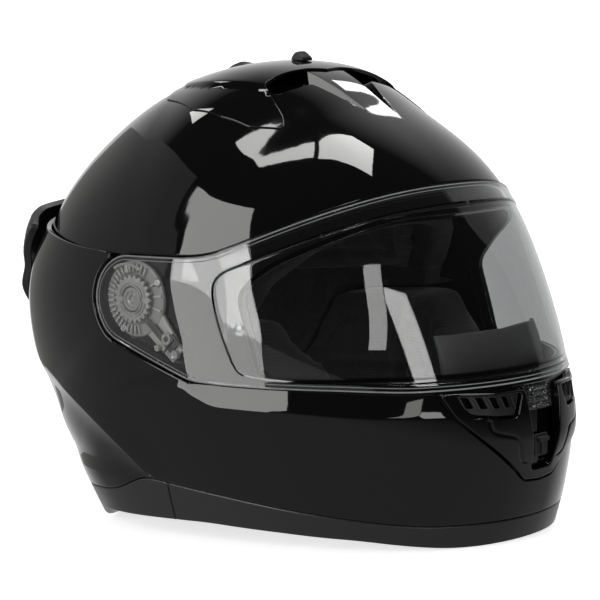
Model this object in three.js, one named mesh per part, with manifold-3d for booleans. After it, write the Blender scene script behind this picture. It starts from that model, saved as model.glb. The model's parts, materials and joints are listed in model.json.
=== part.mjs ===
// A full-face motorcycle helmet: shell, visor with its ratchets, drop-down sun visor, vents, linings and
// chin strap.
// Millimetres. Front is -Y, the wearer's left is +X, +Z is up, and the helmet rests on Z = 0.
// Side outlines are drawn in (u, v), measured back and up from the visor's pivot axis.
import * as THREE from "three";
import { mergeVertices } from "three/addons/utils/BufferGeometryUtils.js";
import Module from "manifold-3d";

const wasm = await Module();
wasm.setup();

// ---- Driving dimensions ----
const PIVOT_Y = 15.1; // the visor's pivot axis
const PIVOT_Z = 130.5;
const HALF_WIDTH = 117.5; // of the base surface, at the pivots
const GAP = 0.4; // between pieces that nearly touch

const RAISED = 1.5; // the lower shell and the trims stand this far out of the base surface
const VISOR_OUTSIDE = 0.9;
const VISOR_THICKNESS = 2.4;
const SEAT_DEPTH = 3.1; // the shell under the visor's rim
const POCKET_DEPTH = 5.9; // how much deeper the shell is round the pivots
const SHELL_INSIDE = 6.2; // the shell's inner face, below the base surface
const LINER_FLOOR = 24; // the chin liner's inner face, below the base surface

const PIVOT_FACE = HALF_WIDTH - SEAT_DEPTH - POCKET_DEPTH; // |x| of the shell's flat round each pivot
const BASE_THICKNESS = 2.2;
const BASE_FACE = PIVOT_FACE + GAP + BASE_THICKNESS;
const RATCHET_THICKNESS = 2.2;
const BOSS_RADIUS = 6.5;

const SUN_HALF_WIDTH = 99.5;
const SUN_RADIUS = 109.5;
const SUN_THICKNESS = 2;
const SUN_SQUARENESS = 2.35; // 2 would make the lens elliptical in plan
const SUN_ANGLES = [41, 76]; // the raised lens, in degrees up from the front

const HEAD = { y: 12, z: 110, x: 76, length: 99, height: 96 }; // the lining's inner ellipsoid
const CROWN_PAD_THICKNESS = 8;

const STRAP_WIDTH = 20;
const STRAP_THICKNESS = 2;
const STRAP_Y = -14; // the strap's middle under the chin

// ---- The base surface: a radius for each direction from the middle of the pivot axis ----
// alpha turns about X from the front, up over the crown; psi leans from the middle plane to +X.
const PROFILE = [
  [-90, 214], [-55, 231], [-28, 201.5], [0, 162], [25, 140], [50, 124.5], [75, 125], [100, 118.5],
  [130, 118.5], [160, 131.5], [180, 145], [200, 149], [218, 147], [236, 150],
];
const SQUARENESS = [[-80, 2.25], [-10, 2.2], [40, 2.45], [100, 2.22], [170, 2.26], [210, 2.3], [235, 2.8]];

const DEG = Math.PI / 180;

// A smooth closed curve through [degrees, value] keys, as a function of degrees.
function closedCurve(keys) {
  const n = keys.length;
  const key = (i) => [keys[((i % n) + n) % n][0] + 360 * Math.floor(i / n), keys[((i % n) + n) % n][1]];
  const slope = (i) => (key(i + 1)[1] - key(i - 1)[1]) / (key(i + 1)[0] - key(i - 1)[0]);
  return (degrees) => {
    const a = keys[0][0] + ((((degrees - keys[0][0]) % 360) + 360) % 360);
    let i = 0;
    while (i < n - 1 && key(i + 1)[0] <= a) i++;
    const [a0, f0] = key(i);
    const [a1, f1] = key(i + 1);
    const h = a1 - a0;
    const t = (a - a0) / h;
    return (
      f0 * (1 + 2 * t) * (1 - t) ** 2 + f1 * t * t * (3 - 2 * t) +
      slope(i) * h * t * (1 - t) ** 2 - slope(i + 1) * h * t * t * (1 - t)
    );
  };
}

const profile = closedCurve(PROFILE);
const squareness = closedCurve(SQUARENESS);

// The radius of a superellipse at psi: inPlane in the middle plane, halfWidth along the pivot axis.
function superRadius(n, psi, halfWidth, inPlane) {
  const across = Math.abs(Math.sin(psi)) / halfWidth;
  const along = Math.abs(Math.cos(psi)) / inPlane;
  return (across ** n + along ** n) ** (-1 / n);
}

function baseRadius(alpha, psi) {
  return superRadius(squareness(alpha / DEG), psi, HALF_WIDTH, profile(alpha / DEG));
}

const ramp = (x, from, to) => THREE.MathUtils.smoothstep(x, from, to);
const fall = (x, from, to) => 1 - ramp(x, from, to);
const lean = (psi) => Math.abs(Math.sin(psi));
const nearPivot = (psi) => ramp(lean(psi), 0.86, 0.93);

// The half width of the base surface at (u, v), moved out by an offset.
function halfWidthAt(u, v, offset) {
  const alpha = Math.atan2(v, -u);
  const n = squareness(alpha / DEG);
  const reach = Math.hypot(u, v) / (profile(alpha / DEG) + offset);
  return (HALF_WIDTH + offset) * (1 - reach ** n) ** (1 / n);
}

// The height above the floor of the surface's middle line over the crown at u.
function crownHeight(u, offset) {
  let alpha = 90;
  for (let i = 0; i < 8; i++) alpha = Math.acos(-u / (profile(alpha) + offset)) / DEG;
  return PIVOT_Z + (profile(alpha) + offset) * Math.sin(alpha * DEG);
}

// The crown is hollowed under the fairing, on either side of a middle ridge.
const CROWN_DROP = 7;
const SIDE_DROP = 3.4; // the upper shell's sides lie this far inside the base surface
const RIDGE = [0.1, 0.15]; // the lean where the ridge's flank starts and ends
function crownHollow(alpha, psi) {
  const along = ramp(alpha / DEG, 42, 62) * fall(alpha / DEG, 100, 114);
  return along * fall(lean(psi), 0.48, 0.64) * ramp(lean(psi), ...RIDGE);
}

function domeOffset(alpha, psi) {
  return -SIDE_DROP * ramp(lean(psi), 0.35, 0.75) - CROWN_DROP * crownHollow(alpha, psi);
}

const ROOF = 1.2; // the fairing's height above the base surface in the middle
const SHOULDER = 3.8; // how much higher it is at its sides
const fairingOffset = (alpha, psi) => ROOF + SHOULDER * ramp(lean(psi), 0.2, 0.42);

// ---- Solids ----
function solidOf(geometry) {
  const bare = new THREE.BufferGeometry();
  bare.setAttribute("position", geometry.getAttribute("position"));
  if (geometry.index) bare.setIndex(geometry.index);
  const merged = mergeVertices(bare, 1e-4);
  return new wasm.Manifold(
    new wasm.Mesh({
      numProp: 3,
      vertProperties: new Float32Array(merged.attributes.position.array),
      triVerts: new Uint32Array(merged.index.array),
    }),
  );
}

function geometryOf(solid) {
  const { vertProperties, triVerts } = solid.getMesh();
  const geometry = new THREE.BufferGeometry();
  geometry.setAttribute("position", new THREE.BufferAttribute(vertProperties, 3));
  geometry.setIndex(new THREE.BufferAttribute(triVerts, 1));
  geometry.computeVertexNormals();
  return geometry;
}

const union = (...solids) => solids.reduce((all, next) => all.add(next));
const cut = (solid, ...tools) => tools.reduce((left, tool) => left.subtract(tool), solid);
const common = (...solids) => solids.reduce((all, next) => all.intersect(next));

// A closed body round the pivot axis's middle, its radius a function of (alpha, psi).
function starBody(radius, columns = 32, rows = 14) {
  const points = [-radius(0, -90 * DEG), PIVOT_Y, PIVOT_Z];
  for (let j = 1; j < rows; j++) {
    const psi = (-90 + (180 * j) / rows) * DEG;
    for (let i = 0; i < columns; i++) {
      const alpha = ((360 * i) / columns) * DEG;
      const r = radius(alpha, psi);
      points.push(
        r * Math.sin(psi),
        PIVOT_Y - r * Math.cos(psi) * Math.cos(alpha),
        PIVOT_Z + r * Math.cos(psi) * Math.sin(alpha),
      );
    }
  }
  points.push(radius(0, 90 * DEG), PIVOT_Y, PIVOT_Z);
  const last = points.length / 3 - 1;
  const at = (i, j) => 1 + (j - 1) * columns + (i % columns);
  const faces = [];
  for (let i = 0; i < columns; i++) {
    faces.push(0, at(i, 1), at(i + 1, 1));
    faces.push(last, at(i + 1, rows - 1), at(i, rows - 1));
    for (let j = 1; j < rows - 1; j++) {
      faces.push(at(i, j), at(i, j + 1), at(i + 1, j));
      faces.push(at(i + 1, j), at(i, j + 1), at(i + 1, j + 1));
    }
  }
  const geometry = new THREE.BufferGeometry();
  geometry.setAttribute("position", new THREE.Float32BufferAttribute(points, 3));
  geometry.setIndex(faces);
  return solidOf(geometry);
}

// The base surface moved out by a number or by a function of (alpha, psi).
function layer(offset, columns, rows) {
  const move = typeof offset === "function" ? offset : () => offset;
  return starBody((alpha, psi) => baseRadius(alpha, psi) + move(alpha, psi), columns, rows);
}

function ellipsoid(x, y, z, centreY, centreZ) {
  const ball = new THREE.SphereGeometry(1, 22, 13).scale(x, y, z).translate(0, centreY, centreZ);
  return solidOf(ball);
}

function shapeOf(points) {
  if (points instanceof THREE.Shape) return points;
  return new THREE.Shape(points.map(([a, b]) => new THREE.Vector2(a, b)));
}

function extruded(points, depth) {
  return new THREE.ExtrudeGeometry(shapeOf(points), { depth, bevelEnabled: false, curveSegments: 10 });
}

const FAR = 260; // beyond the whole helmet
const SIDE_VIEW = new THREE.Matrix4().makeBasis(
  new THREE.Vector3(0, 1, 0), new THREE.Vector3(0, 0, 1), new THREE.Vector3(1, 0, 0));
const FRONT_VIEW = new THREE.Matrix4().makeBasis(
  new THREE.Vector3(1, 0, 0), new THREE.Vector3(0, 0, 1), new THREE.Vector3(0, -1, 0));

// An outline in (u, v) carried across the helmet, between two x values.
function sidePrism(points, x0 = -FAR, x1 = FAR) {
  const prism = extruded(points, x1 - x0);
  return solidOf(prism.applyMatrix4(SIDE_VIEW).translate(x0, PIVOT_Y, PIVOT_Z));
}

// An outline in (x, v) carried along Y, between two u values.
function frontPrism(points, u0, u1) {
  const prism = extruded(points, u1 - u0);
  return solidOf(prism.applyMatrix4(FRONT_VIEW).translate(0, PIVOT_Y + u1, PIVOT_Z));
}

// An outline in (x, u) carried along Z, between two heights above the floor.
function planPrism(points, z0, z1) {
  return solidOf(extruded(points, z1 - z0).translate(0, PIVOT_Y, z0));
}

function box(x0, x1, y0, y1, z0, z1) {
  const block = new THREE.BoxGeometry(x1 - x0, y1 - y0, z1 - z0);
  return solidOf(block.translate((x0 + x1) / 2, (y0 + y1) / 2, (z0 + z1) / 2));
}

// A rod along X at (u, v) from the pivot, from |x| = x0 to x1 on the given side.
function sideRod(side, u, v, radius, x0, x1, segments = 20) {
  const rod = new THREE.CylinderGeometry(radius, radius, x1 - x0, segments).rotateZ(Math.PI / 2);
  return solidOf(rod.translate((side * (x0 + x1)) / 2, PIVOT_Y + u, PIVOT_Z + v));
}

// Points along an arc in degrees.
function arc(cu, cv, radius, from, to, steps) {
  const points = [];
  for (let i = 0; i <= steps; i++) {
    const angle = (from + ((to - from) * i) / steps) * DEG;
    points.push([cu + radius * Math.cos(angle), cv + radius * Math.sin(angle)]);
  }
  return points;
}

// ---- Outlines, in (u, v) ----
const VISOR_ARC = 23.5; // the visor's end is round about its pivot
const VISOR_TOP = [[-48, 22.5], [-68, 28.5], [-98, 41], [-133, 56], [-150, 60]];
const VISOR_BOTTOM = [[-150, -46.5], [-122, -44.5], [-60, -42.5], [-40, -41]];

// The visor's side outline, grown by a margin, and open towards the front.
function visorOutline(margin) {
  const rear = arc(0, 0, VISOR_ARC + margin, -68, 88, 9);
  const top = VISOR_TOP.map(([u, v]) => [u, v + margin]);
  const bottom = VISOR_BOTTOM.map(([u, v]) => [u, v - margin]);
  return [...rear, ...top, [-FAR, 60 + margin], [-FAR, -46.5 - margin], ...bottom];
}

// The edge of the raised lower shell: along the flank, round the visor's end and down to the chin.
const STEP_LINE = [
  [FAR, 44], [120, 39], [91, 34], [42, 27], [14, 25],
  ...arc(0, 0, VISOR_ARC + 2, 62, -66, 8),
  [-41, -46.5], [-52, -52.5], [-88, -54.5], [-130, -58], [-FAR, -64],
];
const EYEPORT = [
  [-72, 3], [-80, 12], [-92, 20], [-115, 31], [-133, 40], [-FAR, 44], [-FAR, -41], [-84, -39],
];
const TRIM_LINE = [
  [FAR, -112], [90, -109], [42, -106], [26, -105], [6, -97], [-2, -95.5], [-15, -97], [-53, -102],
  [-103, -109.5], [-150, -117], [-FAR, -121],
];
const TRIM_SEAM = -15; // u where the front and rear trims meet
const SEAM = 0.2; // half the width of a seam between trims
const EDGE_LINE = [
  [FAR, -PIVOT_Z], [66, -PIVOT_Z], [51, -121], [41, -119.5], [-37, -118.5], [-83, -121], [-122, -124],
  [-158, -PIVOT_Z], [-FAR, -PIVOT_Z],
];

const above = (line) => [...line, [-FAR, FAR], [FAR, FAR]];
const below = (line) => [...line, [-FAR, -FAR], [FAR, -FAR]];
const shifted = (line, dv) => line.map(([u, v]) => [u, v + dv]);

// Moves the eye opening's outline inwards, for the seal: its first two points are the rear end, the next
// four the top edge and the last two the bottom edge.
function eyeportInset(inset) {
  const rear = EYEPORT.slice(0, 2).map(([u, v], i) => [u - inset, v - inset * 0.9 * i]);
  const top = EYEPORT.slice(2, 6).map(([u, v]) => [u - inset * 0.5, v - inset * 0.9]);
  const bottom = EYEPORT.slice(6).map(([u, v]) => [u === -FAR ? u : u - inset, v + inset]);
  return [...rear, ...top, ...bottom];
}

// ---- Shared bodies ----
const insideOffset = (alpha, psi) =>
  -SHELL_INSIDE - POCKET_DEPTH * nearPivot(psi) - (CROWN_DROP - 2.5) * crownHollow(alpha, psi * 0.98);
const pocketFloor = layer((alpha, psi) => -SEAT_DEPTH - POCKET_DEPTH * nearPivot(psi));
const shellInside = layer(insideOffset);
const linerOutside = layer((alpha, psi) => insideOffset(alpha, psi) - GAP);
const raisedBody = layer(RAISED);
const eyeport = sidePrism(EYEPORT);

// ---- Plan outlines of the crown fairing, in (x, u) from the pivot axis ----
const mirrored = (half) => [...half, ...half.map(([x, u]) => [-x, u]).reverse()];
const FAIRING = mirrored([
  [0, 34], [36, 30], [56, 22], [78, -18], [78, -34], [72, -54], [63, -66], [57, -62], [47, -44], [14, -42],
  [0, -44],
]);

// The air's way in under the fairing, on either side of the ridge.
function tunnelSides() {
  const half = [[17, -90], [58, -90], [52, -24], [40, 4], [17, 4]];
  const left = planPrism(half, 150, 280);
  const right = planPrism(half.map(([x, u]) => [-x, u]).reverse(), 150, 280);
  return union(left, right);
}

const CHIN_MARGIN = 0.5;

function chinOutline(margin) {
  const half = [[0, -98 - margin], [13 + margin * 0.6, -97 - margin], [20 + margin, -90 - margin * 0.6],
    [43 + margin, -70 - margin * 0.5], [53 + margin, -60 - margin * 0.3], [59.5 + margin, -46]];
  return mirrored(half);
}

// ---- Shell ----
function outerShell() {
  const raised = cut(raisedBody, sidePrism(above(STEP_LINE)));
  const dome = layer(domeOffset);
  const outside = union(raised, dome);
  const pocket = cut(sidePrism(visorOutline(1.3)), pocketFloor);
  const bottom = sidePrism(below(shifted(TRIM_LINE, SEAM)));
  const chinSeat = cut(frontPrism(chinOutline(CHIN_MARGIN), -FAR, -60), layer(-2.2));
  const inlets = union(...[-1, 1].map((s) => planPrism(rectangle(s * 29, -22, 18, 24), 200, 260)));
  const chinInlets = union(...[-1, 1].map((s) => frontPrism(rectangle(s * 30, -62, 14, 8), -FAR, -60)));
  const outlets = union(...[-1, 1].map((s) => frontPrism(rectangle(s * 24, 26, 26, 8), 60, FAR)));
  return cut(outside, pocket, bottom, eyeport, chinSeat, inlets, chinInlets, outlets, shellInside);
}

function rectangle(cx, cv, width, height) {
  return [[cx - width / 2, cv - height / 2], [cx + width / 2, cv - height / 2],
    [cx + width / 2, cv + height / 2], [cx - width / 2, cv + height / 2]];
}

function rearSpoiler() {
  const lift = (alpha, psi) => {
    const a = alpha / DEG;
    return 0.8 + 8.2 * fall(a, 180, 192) * fall(lean(psi), 0.5, 0.72) + 2.5 * fall(a, 163, 172);
  };
  const outline = mirrored([[0, -26], [50, -24], [62, 0], [80, 33], [60, 41], [0, 45]]);
  const body = cut(layer(lift, 48, 22), layer(RAISED + GAP));
  const slots = union(...[-1, 1].map((s) => frontPrism(rectangle(s * 30, 12, 34, 5), 60, FAR)));
  return cut(common(body, frontPrism(outline, 60, FAR)), slots);
}

function lowerTrims() {
  const ring = cut(
    common(layer(RAISED - 0.2), sidePrism(below(shifted(TRIM_LINE, -SEAM)))),
    layer(-SHELL_INSIDE),
    sidePrism(below(EDGE_LINE)),
  );
  const front = common(ring, box(-FAR, FAR, -FAR, PIVOT_Y + TRIM_SEAM - SEAM, -1, FAR));
  const rear = common(ring, box(-FAR, FAR, PIVOT_Y + TRIM_SEAM + SEAM, FAR, -1, FAR));
  return { front, rear };
}

function eyeportGasket() {
  const band = cut(sidePrism(eyeportInset(0.3)), sidePrism(eyeportInset(4)));
  return cut(common(band, layer(-SEAT_DEPTH - 0.4)), layer(-SHELL_INSIDE - 4));
}

// ---- Crown fairing and its controls ----
// Each slides along a chord of the crown, tilted so many degrees up from the horizontal.
const SUN_SLIDER = { u: 8, length: 17, width: 10, height: 3.6, travel: 12, tilt: -15 };
const VENT_SLIDER = { u: -31, length: 8, width: 9, height: 4.2, travel: 7, tilt: 5 };
const SLIDER_RIDE = 0.9; // above the roof, at the knob's front end
const STEM = 4; // the side of each slider's square stem
const STEM_REACH = 1.3; // below the knob, into the slot
const STEM_PLAY = 0.8;

function topVentFairing() {
  const grid = [48, 24];
  const underside = (alpha, psi) => domeOffset(alpha, psi) + GAP;
  const body = cut(common(layer(fairingOffset, ...grid), planPrism(FAIRING, 200, 280)), layer(underside));
  const tunnel = common(tunnelSides(), layer((alpha, psi) => fairingOffset(alpha, psi) - 2.4, ...grid));
  const slots = [SUN_SLIDER, VENT_SLIDER].map(({ u, length, travel }) => {
    const y = PIVOT_Y + u + length / 2;
    const half = STEM / 2 + STEM_PLAY;
    return box(-half, half, y - half, y + half + travel, 235, 280);
  });
  return cut(body, tunnel, ...slots);
}

// A knob that slides back along the crown on a stem through the fairing's slot.
function crownSlider({ u, length, width, height, tilt }, noseHeight) {
  const profilePoints = [[0, 0], [length, 0], [length - 1.5, height * 0.8], [length * 0.6, height],
    [length * 0.35, height], [0, noseHeight]];
  const knob = extruded(profilePoints, width).applyMatrix4(SIDE_VIEW).translate(-width / 2, 0, 0);
  const stem = box(-STEM / 2, STEM / 2, (length - STEM) / 2, (length + STEM) / 2, -STEM_REACH, 1);
  const level = union(solidOf(knob), stem);
  return level.rotate([tilt, 0, 0]).translate([0, PIVOT_Y + u, crownHeight(u, ROOF) + SLIDER_RIDE]);
}

// ---- Chin ----
const SNOUT = 4.6; // how far the chin piece's middle stands out
function chinLift(alpha, psi) {
  const a = alpha / DEG > 180 ? alpha / DEG - 360 : alpha / DEG;
  return RAISED + 0.2 + SNOUT * ramp(a, -29, -22) * fall(lean(psi), 0.16, 0.3);
}

const RECESS = [[-14.5, -40], [14.5, -40], [9, -92], [-9, -92]];
const GRILLE = [[17, -49.5], [52, -49.5], [46, -60], [22, -61.5]];

function chinVentHousing() {
  const body = cut(common(layer(chinLift, 72, 40), frontPrism(chinOutline(0), -FAR, -60)), layer(-1.8));
  const recess = cut(frontPrism([...RECESS].reverse(), -FAR, -60), layer(0.4));
  const rim = sidePrism(above([[FAR, -48], [-FAR, -48]]));
  const grilles = [-1, 1].map((side) => grilleSpace(side, 0));
  const inlets = [-1, 1].map((s) => frontPrism(rectangle(s * 30, -56, 12, 5), -FAR, -60));
  return cut(body, recess, rim, ...grilles, ...inlets);
}

// The space of one louvred inlet, shrunk by a margin.
function grilleSpace(side, margin) {
  const shrunk = grown(GRILLE, [34, -55], -margin);
  const outline = shrunk.map(([x, v]) => [side * x, v]);
  const prism = frontPrism(side > 0 ? outline.reverse() : outline, -FAR, -60);
  return cut(prism, layer((a, psi) => chinLift(a, psi) - 3 + margin, 72, 40));
}

function chinVentGrille(side) {
  const plate = common(grilleSpace(side, 0.3), layer((a, psi) => chinLift(a, psi) - 0.6, 72, 40));
  const slots = [28, 35, 42].map((x) => frontPrism(rectangle(side * x, -55.5, 4.2, 7), -FAR, -60));
  return cut(plate, ...slots);
}

const CHIN_SLIDER = { v: -80, width: 12, height: 12 };

function chinVentSlider() {
  const { v, width, height } = CHIN_SLIDER;
  const plate = frontPrism(rectangle(0, v, width, height), -FAR, -60);
  const grip = frontPrism(rectangle(0, v + height / 2 - 2, width - 3, 2.6), -FAR, -60);
  const thin = cut(common(plate, layer(2.2)), layer(0.8));
  return union(thin, cut(common(grip, layer(4.4)), layer(1.2)));
}

// ---- Visor ----
const VISOR_GRID = [36, 16];
const VISOR_INSIDE = VISOR_OUTSIDE - VISOR_THICKNESS;

function visorShield() {
  const skin = cut(layer(VISOR_OUTSIDE, ...VISOR_GRID), layer(VISOR_INSIDE, ...VISOR_GRID));
  return common(skin, sidePrism(visorOutline(0)), box(-FAR, FAR, PIVOT_Y - FAR, PIVOT_Y + 60, 0, 260));
}

function visorLockTab() {
  const outline = [[-13, -47.2], [13, -47.2], [9.5, -61], [-9.5, -61]].reverse();
  return cut(common(frontPrism(outline, -FAR, -60), layer(3.4)), layer(VISOR_OUTSIDE));
}

// An outline in (u, v) between |x| = x0 and x1 on the given side.
function sidePlate(points, side, x0, x1) {
  return side > 0 ? sidePrism(points, x0, x1) : sidePrism(points, -x1, -x0);
}

const LEVER_POINT = [-29, -28];
const BASE_SCREWS = [[-17, 9], [9, -16]];

// The plate that carries one side of the visor, with its pivot boss.
function visorBase(side) {
  const x0 = PIVOT_FACE + GAP;
  const plate = union(
    sideRod(side, 0, 0, VISOR_ARC - 3, x0, BASE_FACE, 28),
    sidePlate([[-8, -19], [-24, -32], [-31, -25], [-19, -8]], side, x0, BASE_FACE),
  );
  const boss = sideRod(side, 0, 0, BOSS_RADIUS, BASE_FACE - 0.5, BASE_FACE + RATCHET_THICKNESS + 0.6);
  return cut(union(plate, boss), sideRod(side, 0, 0, 2.4, x0 - 1, BASE_FACE + 9, 12));
}

function baseScrew(side, [u, v]) {
  return sideRod(side, u, v, 2.3, BASE_FACE + 0.25, BASE_FACE + 1.15, 12);
}

// A toothed ring on the visor, round the base's boss.
function visorRatchet(side) {
  const shape = new THREE.Shape();
  const teeth = 20;
  for (let i = 0; i < teeth * 2; i++) {
    const angle = ((360 * i) / (teeth * 2)) * DEG;
    const radius = i % 2 ? 11.6 : 13;
    if (i) shape.lineTo(radius * Math.cos(angle), radius * Math.sin(angle));
    else shape.moveTo(radius, 0);
  }
  const x0 = BASE_FACE + 0.35;
  const x1 = x0 + RATCHET_THICKNESS;
  const ring = sidePlate(shape, side, x0, x1);
  return cut(ring, sideRod(side, 0, 0, BOSS_RADIUS + 0.3, x0 - 1, x1 + 1));
}

// A bent leaf on the base that clicks into the ratchet.
function visorDetent(side) {
  const x0 = BASE_FACE + 0.3;
  const outline = [[-4, 14.4], [-2, 14.4], [4, 16.5], [12, 14.5], [13, 16], [4, 18.6], [-4, 16.4]];
  return sidePlate(outline, side, x0, x0 + 1.8);
}

// The quick-release lever: a short slide below the ratchet.
function visorRelease(side) {
  const x0 = BASE_FACE + 0.3;
  const [u, v] = LEVER_POINT;
  const corners = [[22, 16], [18, 19], [7, 9], [2, 11], [-3, 6], [4, 0]];
  const outline = corners.map(([du, dv]) => [u + du, v + dv]);
  return sidePlate(outline, side, x0, x0 + 1.6);
}

const ANTI_FOG_PIN = { u: -71, v: -14, radius: 3.2, height: 0.9 };
function antiFogPin(side) {
  const { u, v, radius, height } = ANTI_FOG_PIN;
  const top = VISOR_INSIDE - 0.2;
  const rod = sideRod(side, u, v, radius, 60, 140, 16);
  return cut(common(rod, layer(top, ...VISOR_GRID)), layer(top - height, ...VISOR_GRID));
}

// ---- Sun visor ----
// The lens is part of a body of revolution about the pivot axis, so that it clears the liner as it drops.
function sunLayer(offset) {
  const halfWidth = SUN_HALF_WIDTH + offset;
  return starBody((_, psi) => superRadius(SUN_SQUARENESS, psi, halfWidth, SUN_RADIUS + offset), 72);
}

// A sector about the pivot, between two angles up from the front and two radii.
function fan(from, to, inner, outer) {
  const outside = arc(0, 0, outer, 180 - from, 180 - to, 8);
  const inside = arc(0, 0, inner, 180 - to, 180 - from, 8);
  return [...outside, ...inside].reverse();
}

function sunVisor() {
  const [low, high] = SUN_ANGLES;
  const lens = sidePrism(fan(low, high, 52, 160));
  const arm = sidePrism([...arc(0, 0, 9, -60, 120, 6), [-36, 62], [-50, 50]]);
  const skin = cut(sunLayer(0), sunLayer(-SUN_THICKNESS));
  const body = common(skin, union(lens, arm));
  return cut(body, sideRod(1, 0, 0, 3.3, 80, 120), sideRod(-1, 0, 0, 3.3, 80, 120));
}

function sunPivot(side) {
  const inner = SUN_HALF_WIDTH - SUN_THICKNESS - 1;
  const outer = SUN_HALF_WIDTH + 2.5;
  const pin = sideRod(side, 0, 0, 3, inner, outer, 16);
  return union(pin, sideRod(side, 0, 0, 5.5, outer - 2, outer, 16));
}

// ---- Linings ----
function headSpace(grow) {
  return ellipsoid(HEAD.x + grow, HEAD.length + grow, HEAD.height + grow, HEAD.y, HEAD.z);
}

const CHEEK = [[-84, -44], [-88, -90], [-40, -99], [30, -97], [44, -60], [20, -14], [-60, -10]];

// Moves each point away from a middle by the same amount both ways.
function grown(points, [middleA, middleB], by) {
  return points.map(([a, b]) => [a + Math.sign(a - middleA) * by, b + Math.sign(b - middleB) * by]);
}

function neckTunnel(grow) {
  const column = new THREE.CylinderGeometry(1, 1, 200, 32).rotateX(Math.PI / 2);
  column.scale(HEAD.x - 2 + grow, HEAD.length - 8 + grow, 1);
  return solidOf(column.translate(0, HEAD.y - 4, 20));
}

function impactLiner() {
  const face = sidePrism([
    [-52, -12], [-60, 4], [-78, 22], [-100, 34], [-112, 44], [-FAR, 52], [-FAR, -FAR], [-52, -FAR],
  ]);
  const cheeks = sidePrism(grown(CHEEK, [-20, -55], 1));
  const bottom = sidePrism(below([[FAR, -76], [-FAR, -76]]));
  const hubs = [-1, 1].map((side) => sideRod(side, 0, 0, 14, 60, 130));
  const sweep = union(sidePrism(fan(-8, 84, 0.5, 160)), ...hubs);
  const sunFan = cut(sweep, sunLayer(-SUN_THICKNESS - 1.4));
  const clearance = CROWN_PAD_THICKNESS + GAP;
  const hollow = union(headSpace(clearance), neckTunnel(clearance));
  return cut(linerOutside, hollow, face, cheeks, bottom, sunFan);
}

function crownPad() {
  const pad = cut(headSpace(CROWN_PAD_THICKNESS), headSpace(0));
  return common(pad, sidePrism(above([[FAR, -6], [-40, -2], [-66, 34], [-FAR, 46]])));
}

function cheekPad(side) {
  const outside = layer(-SHELL_INSIDE - POCKET_DEPTH - 1.4);
  const half = box(side > 0 ? 46 : -FAR, side > 0 ? FAR : -46, -FAR, FAR, 0, 260);
  return cut(common(outside, sidePrism(CHEEK), half), headSpace(0), neckTunnel(0), strapChannel(side));
}

function neckRoll() {
  const outside = layer(-SHELL_INSIDE - 3);
  const band = sidePrism([[46, -78], [54, -112], [FAR, -112], [FAR, -78]].reverse());
  return cut(common(outside, band), neckTunnel(CROWN_PAD_THICKNESS - 4));
}

function chinLiner() {
  const band = sidePrism([[-92, -46], [-FAR, -46], [-FAR, -108], [-92, -100]]);
  return cut(common(layer(-SHELL_INSIDE - GAP), band), layer(-LINER_FLOOR));
}

function breathDeflector() {
  const band = sidePrism([[-110, -44], [-110, -20], [-FAR, -24], [-FAR, -44]]);
  const middle = box(-44, 44, -FAR, 0, 0, 260);
  return cut(common(layer(-SHELL_INSIDE - 5), band, middle), layer(-SHELL_INSIDE - 7.5));
}

function chinCurtain() {
  const sheet = box(-FAR, FAR, PIVOT_Y - FAR, PIVOT_Y - 96, 12, 13.6);
  const round = new THREE.CylinderGeometry(84, 84, 60, 36).rotateX(Math.PI / 2).scale(1, 1.2, 1);
  const mouth = solidOf(round.translate(0, PIVOT_Y - 22, 12));
  return cut(common(sheet, layer(-SHELL_INSIDE - 0.6)), mouth);
}

// ---- Chin strap ----
const ANCHOR_V = -66; // the rivets' height
const STRAP_CLEARANCE = 2.4; // between the shell's inside and the strap

// A flat band along points in the (x, z) plane, STRAP_WIDTH wide.
function strapBand(points, y) {
  const upper = points.map(([x, z], i) => {
    const [ax, az] = points[Math.max(i - 1, 0)];
    const [bx, bz] = points[Math.min(i + 1, points.length - 1)];
    const length = Math.hypot(bx - ax, bz - az);
    return [x - (STRAP_THICKNESS * (bz - az)) / length, z + (STRAP_THICKNESS * (bx - ax)) / length];
  });
  const outline = [...points, ...upper.reverse()];
  const prism = extruded(outline, STRAP_WIDTH);
  return prism.applyMatrix4(FRONT_VIEW).translate(0, y + STRAP_WIDTH / 2, 0);
}

function mirrorX(geometry) {
  const flipped = (geometry.index ? geometry.toNonIndexed() : geometry).scale(-1, 1, 1);
  const position = flipped.getAttribute("position");
  const corner = [new THREE.Vector3(), new THREE.Vector3()];
  for (let i = 0; i < position.count; i += 3) {
    corner.forEach((point, k) => point.fromBufferAttribute(position, i + 1 + k));
    position.setXYZ(i + 1, ...corner[1]);
    position.setXYZ(i + 2, ...corner[0]);
  }
  return flipped;
}

// The strap's path: from under the chin, out to the shell's side and up to its rivet.
function strapPath(innerX, outerX, z) {
  const u = STRAP_Y - PIVOT_Y;
  const rise = [-98, -90, -82, -74, ANCHOR_V - 8, ANCHOR_V + 6].map((v) => [
    halfWidthAt(u, v, -SHELL_INSIDE) - STRAP_CLEARANCE, PIVOT_Z + v]);
  return [[innerX, z], [outerX, z], [80, z + 6.5], [92, 21], ...rise];
}

const BUCKLE = { x0: -8, x1: 34, width: 24, floor: 5, plate: 1.6, wall: 1.7, top: 13.2 };
const LEVER_PIN = { x: 24, z: 11.2, radius: 1.4 };
const TONGUE = { x0: -40, x1: 18, width: 12, z: 7.3, thickness: 1.5, travel: 24 };

function chinStrap(side) {
  const path = side > 0 ? strapPath(29, 56, 7.2) : strapPath(16, 67, 4.9);
  const band = strapBand(path, STRAP_Y);
  return solidOf(side > 0 ? band : mirrorX(band));
}

// |x| of the strap's inner face at its rivet.
function strapInside() {
  return halfWidthAt(STRAP_Y - PIVOT_Y, ANCHOR_V, -SHELL_INSIDE) - STRAP_CLEARANCE - STRAP_THICKNESS;
}

function strapRivet(side) {
  const face = strapInside();
  return sideRod(side, STRAP_Y - PIVOT_Y, ANCHOR_V, 5, face - 2.4, face - 0.8, 16);
}

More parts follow.
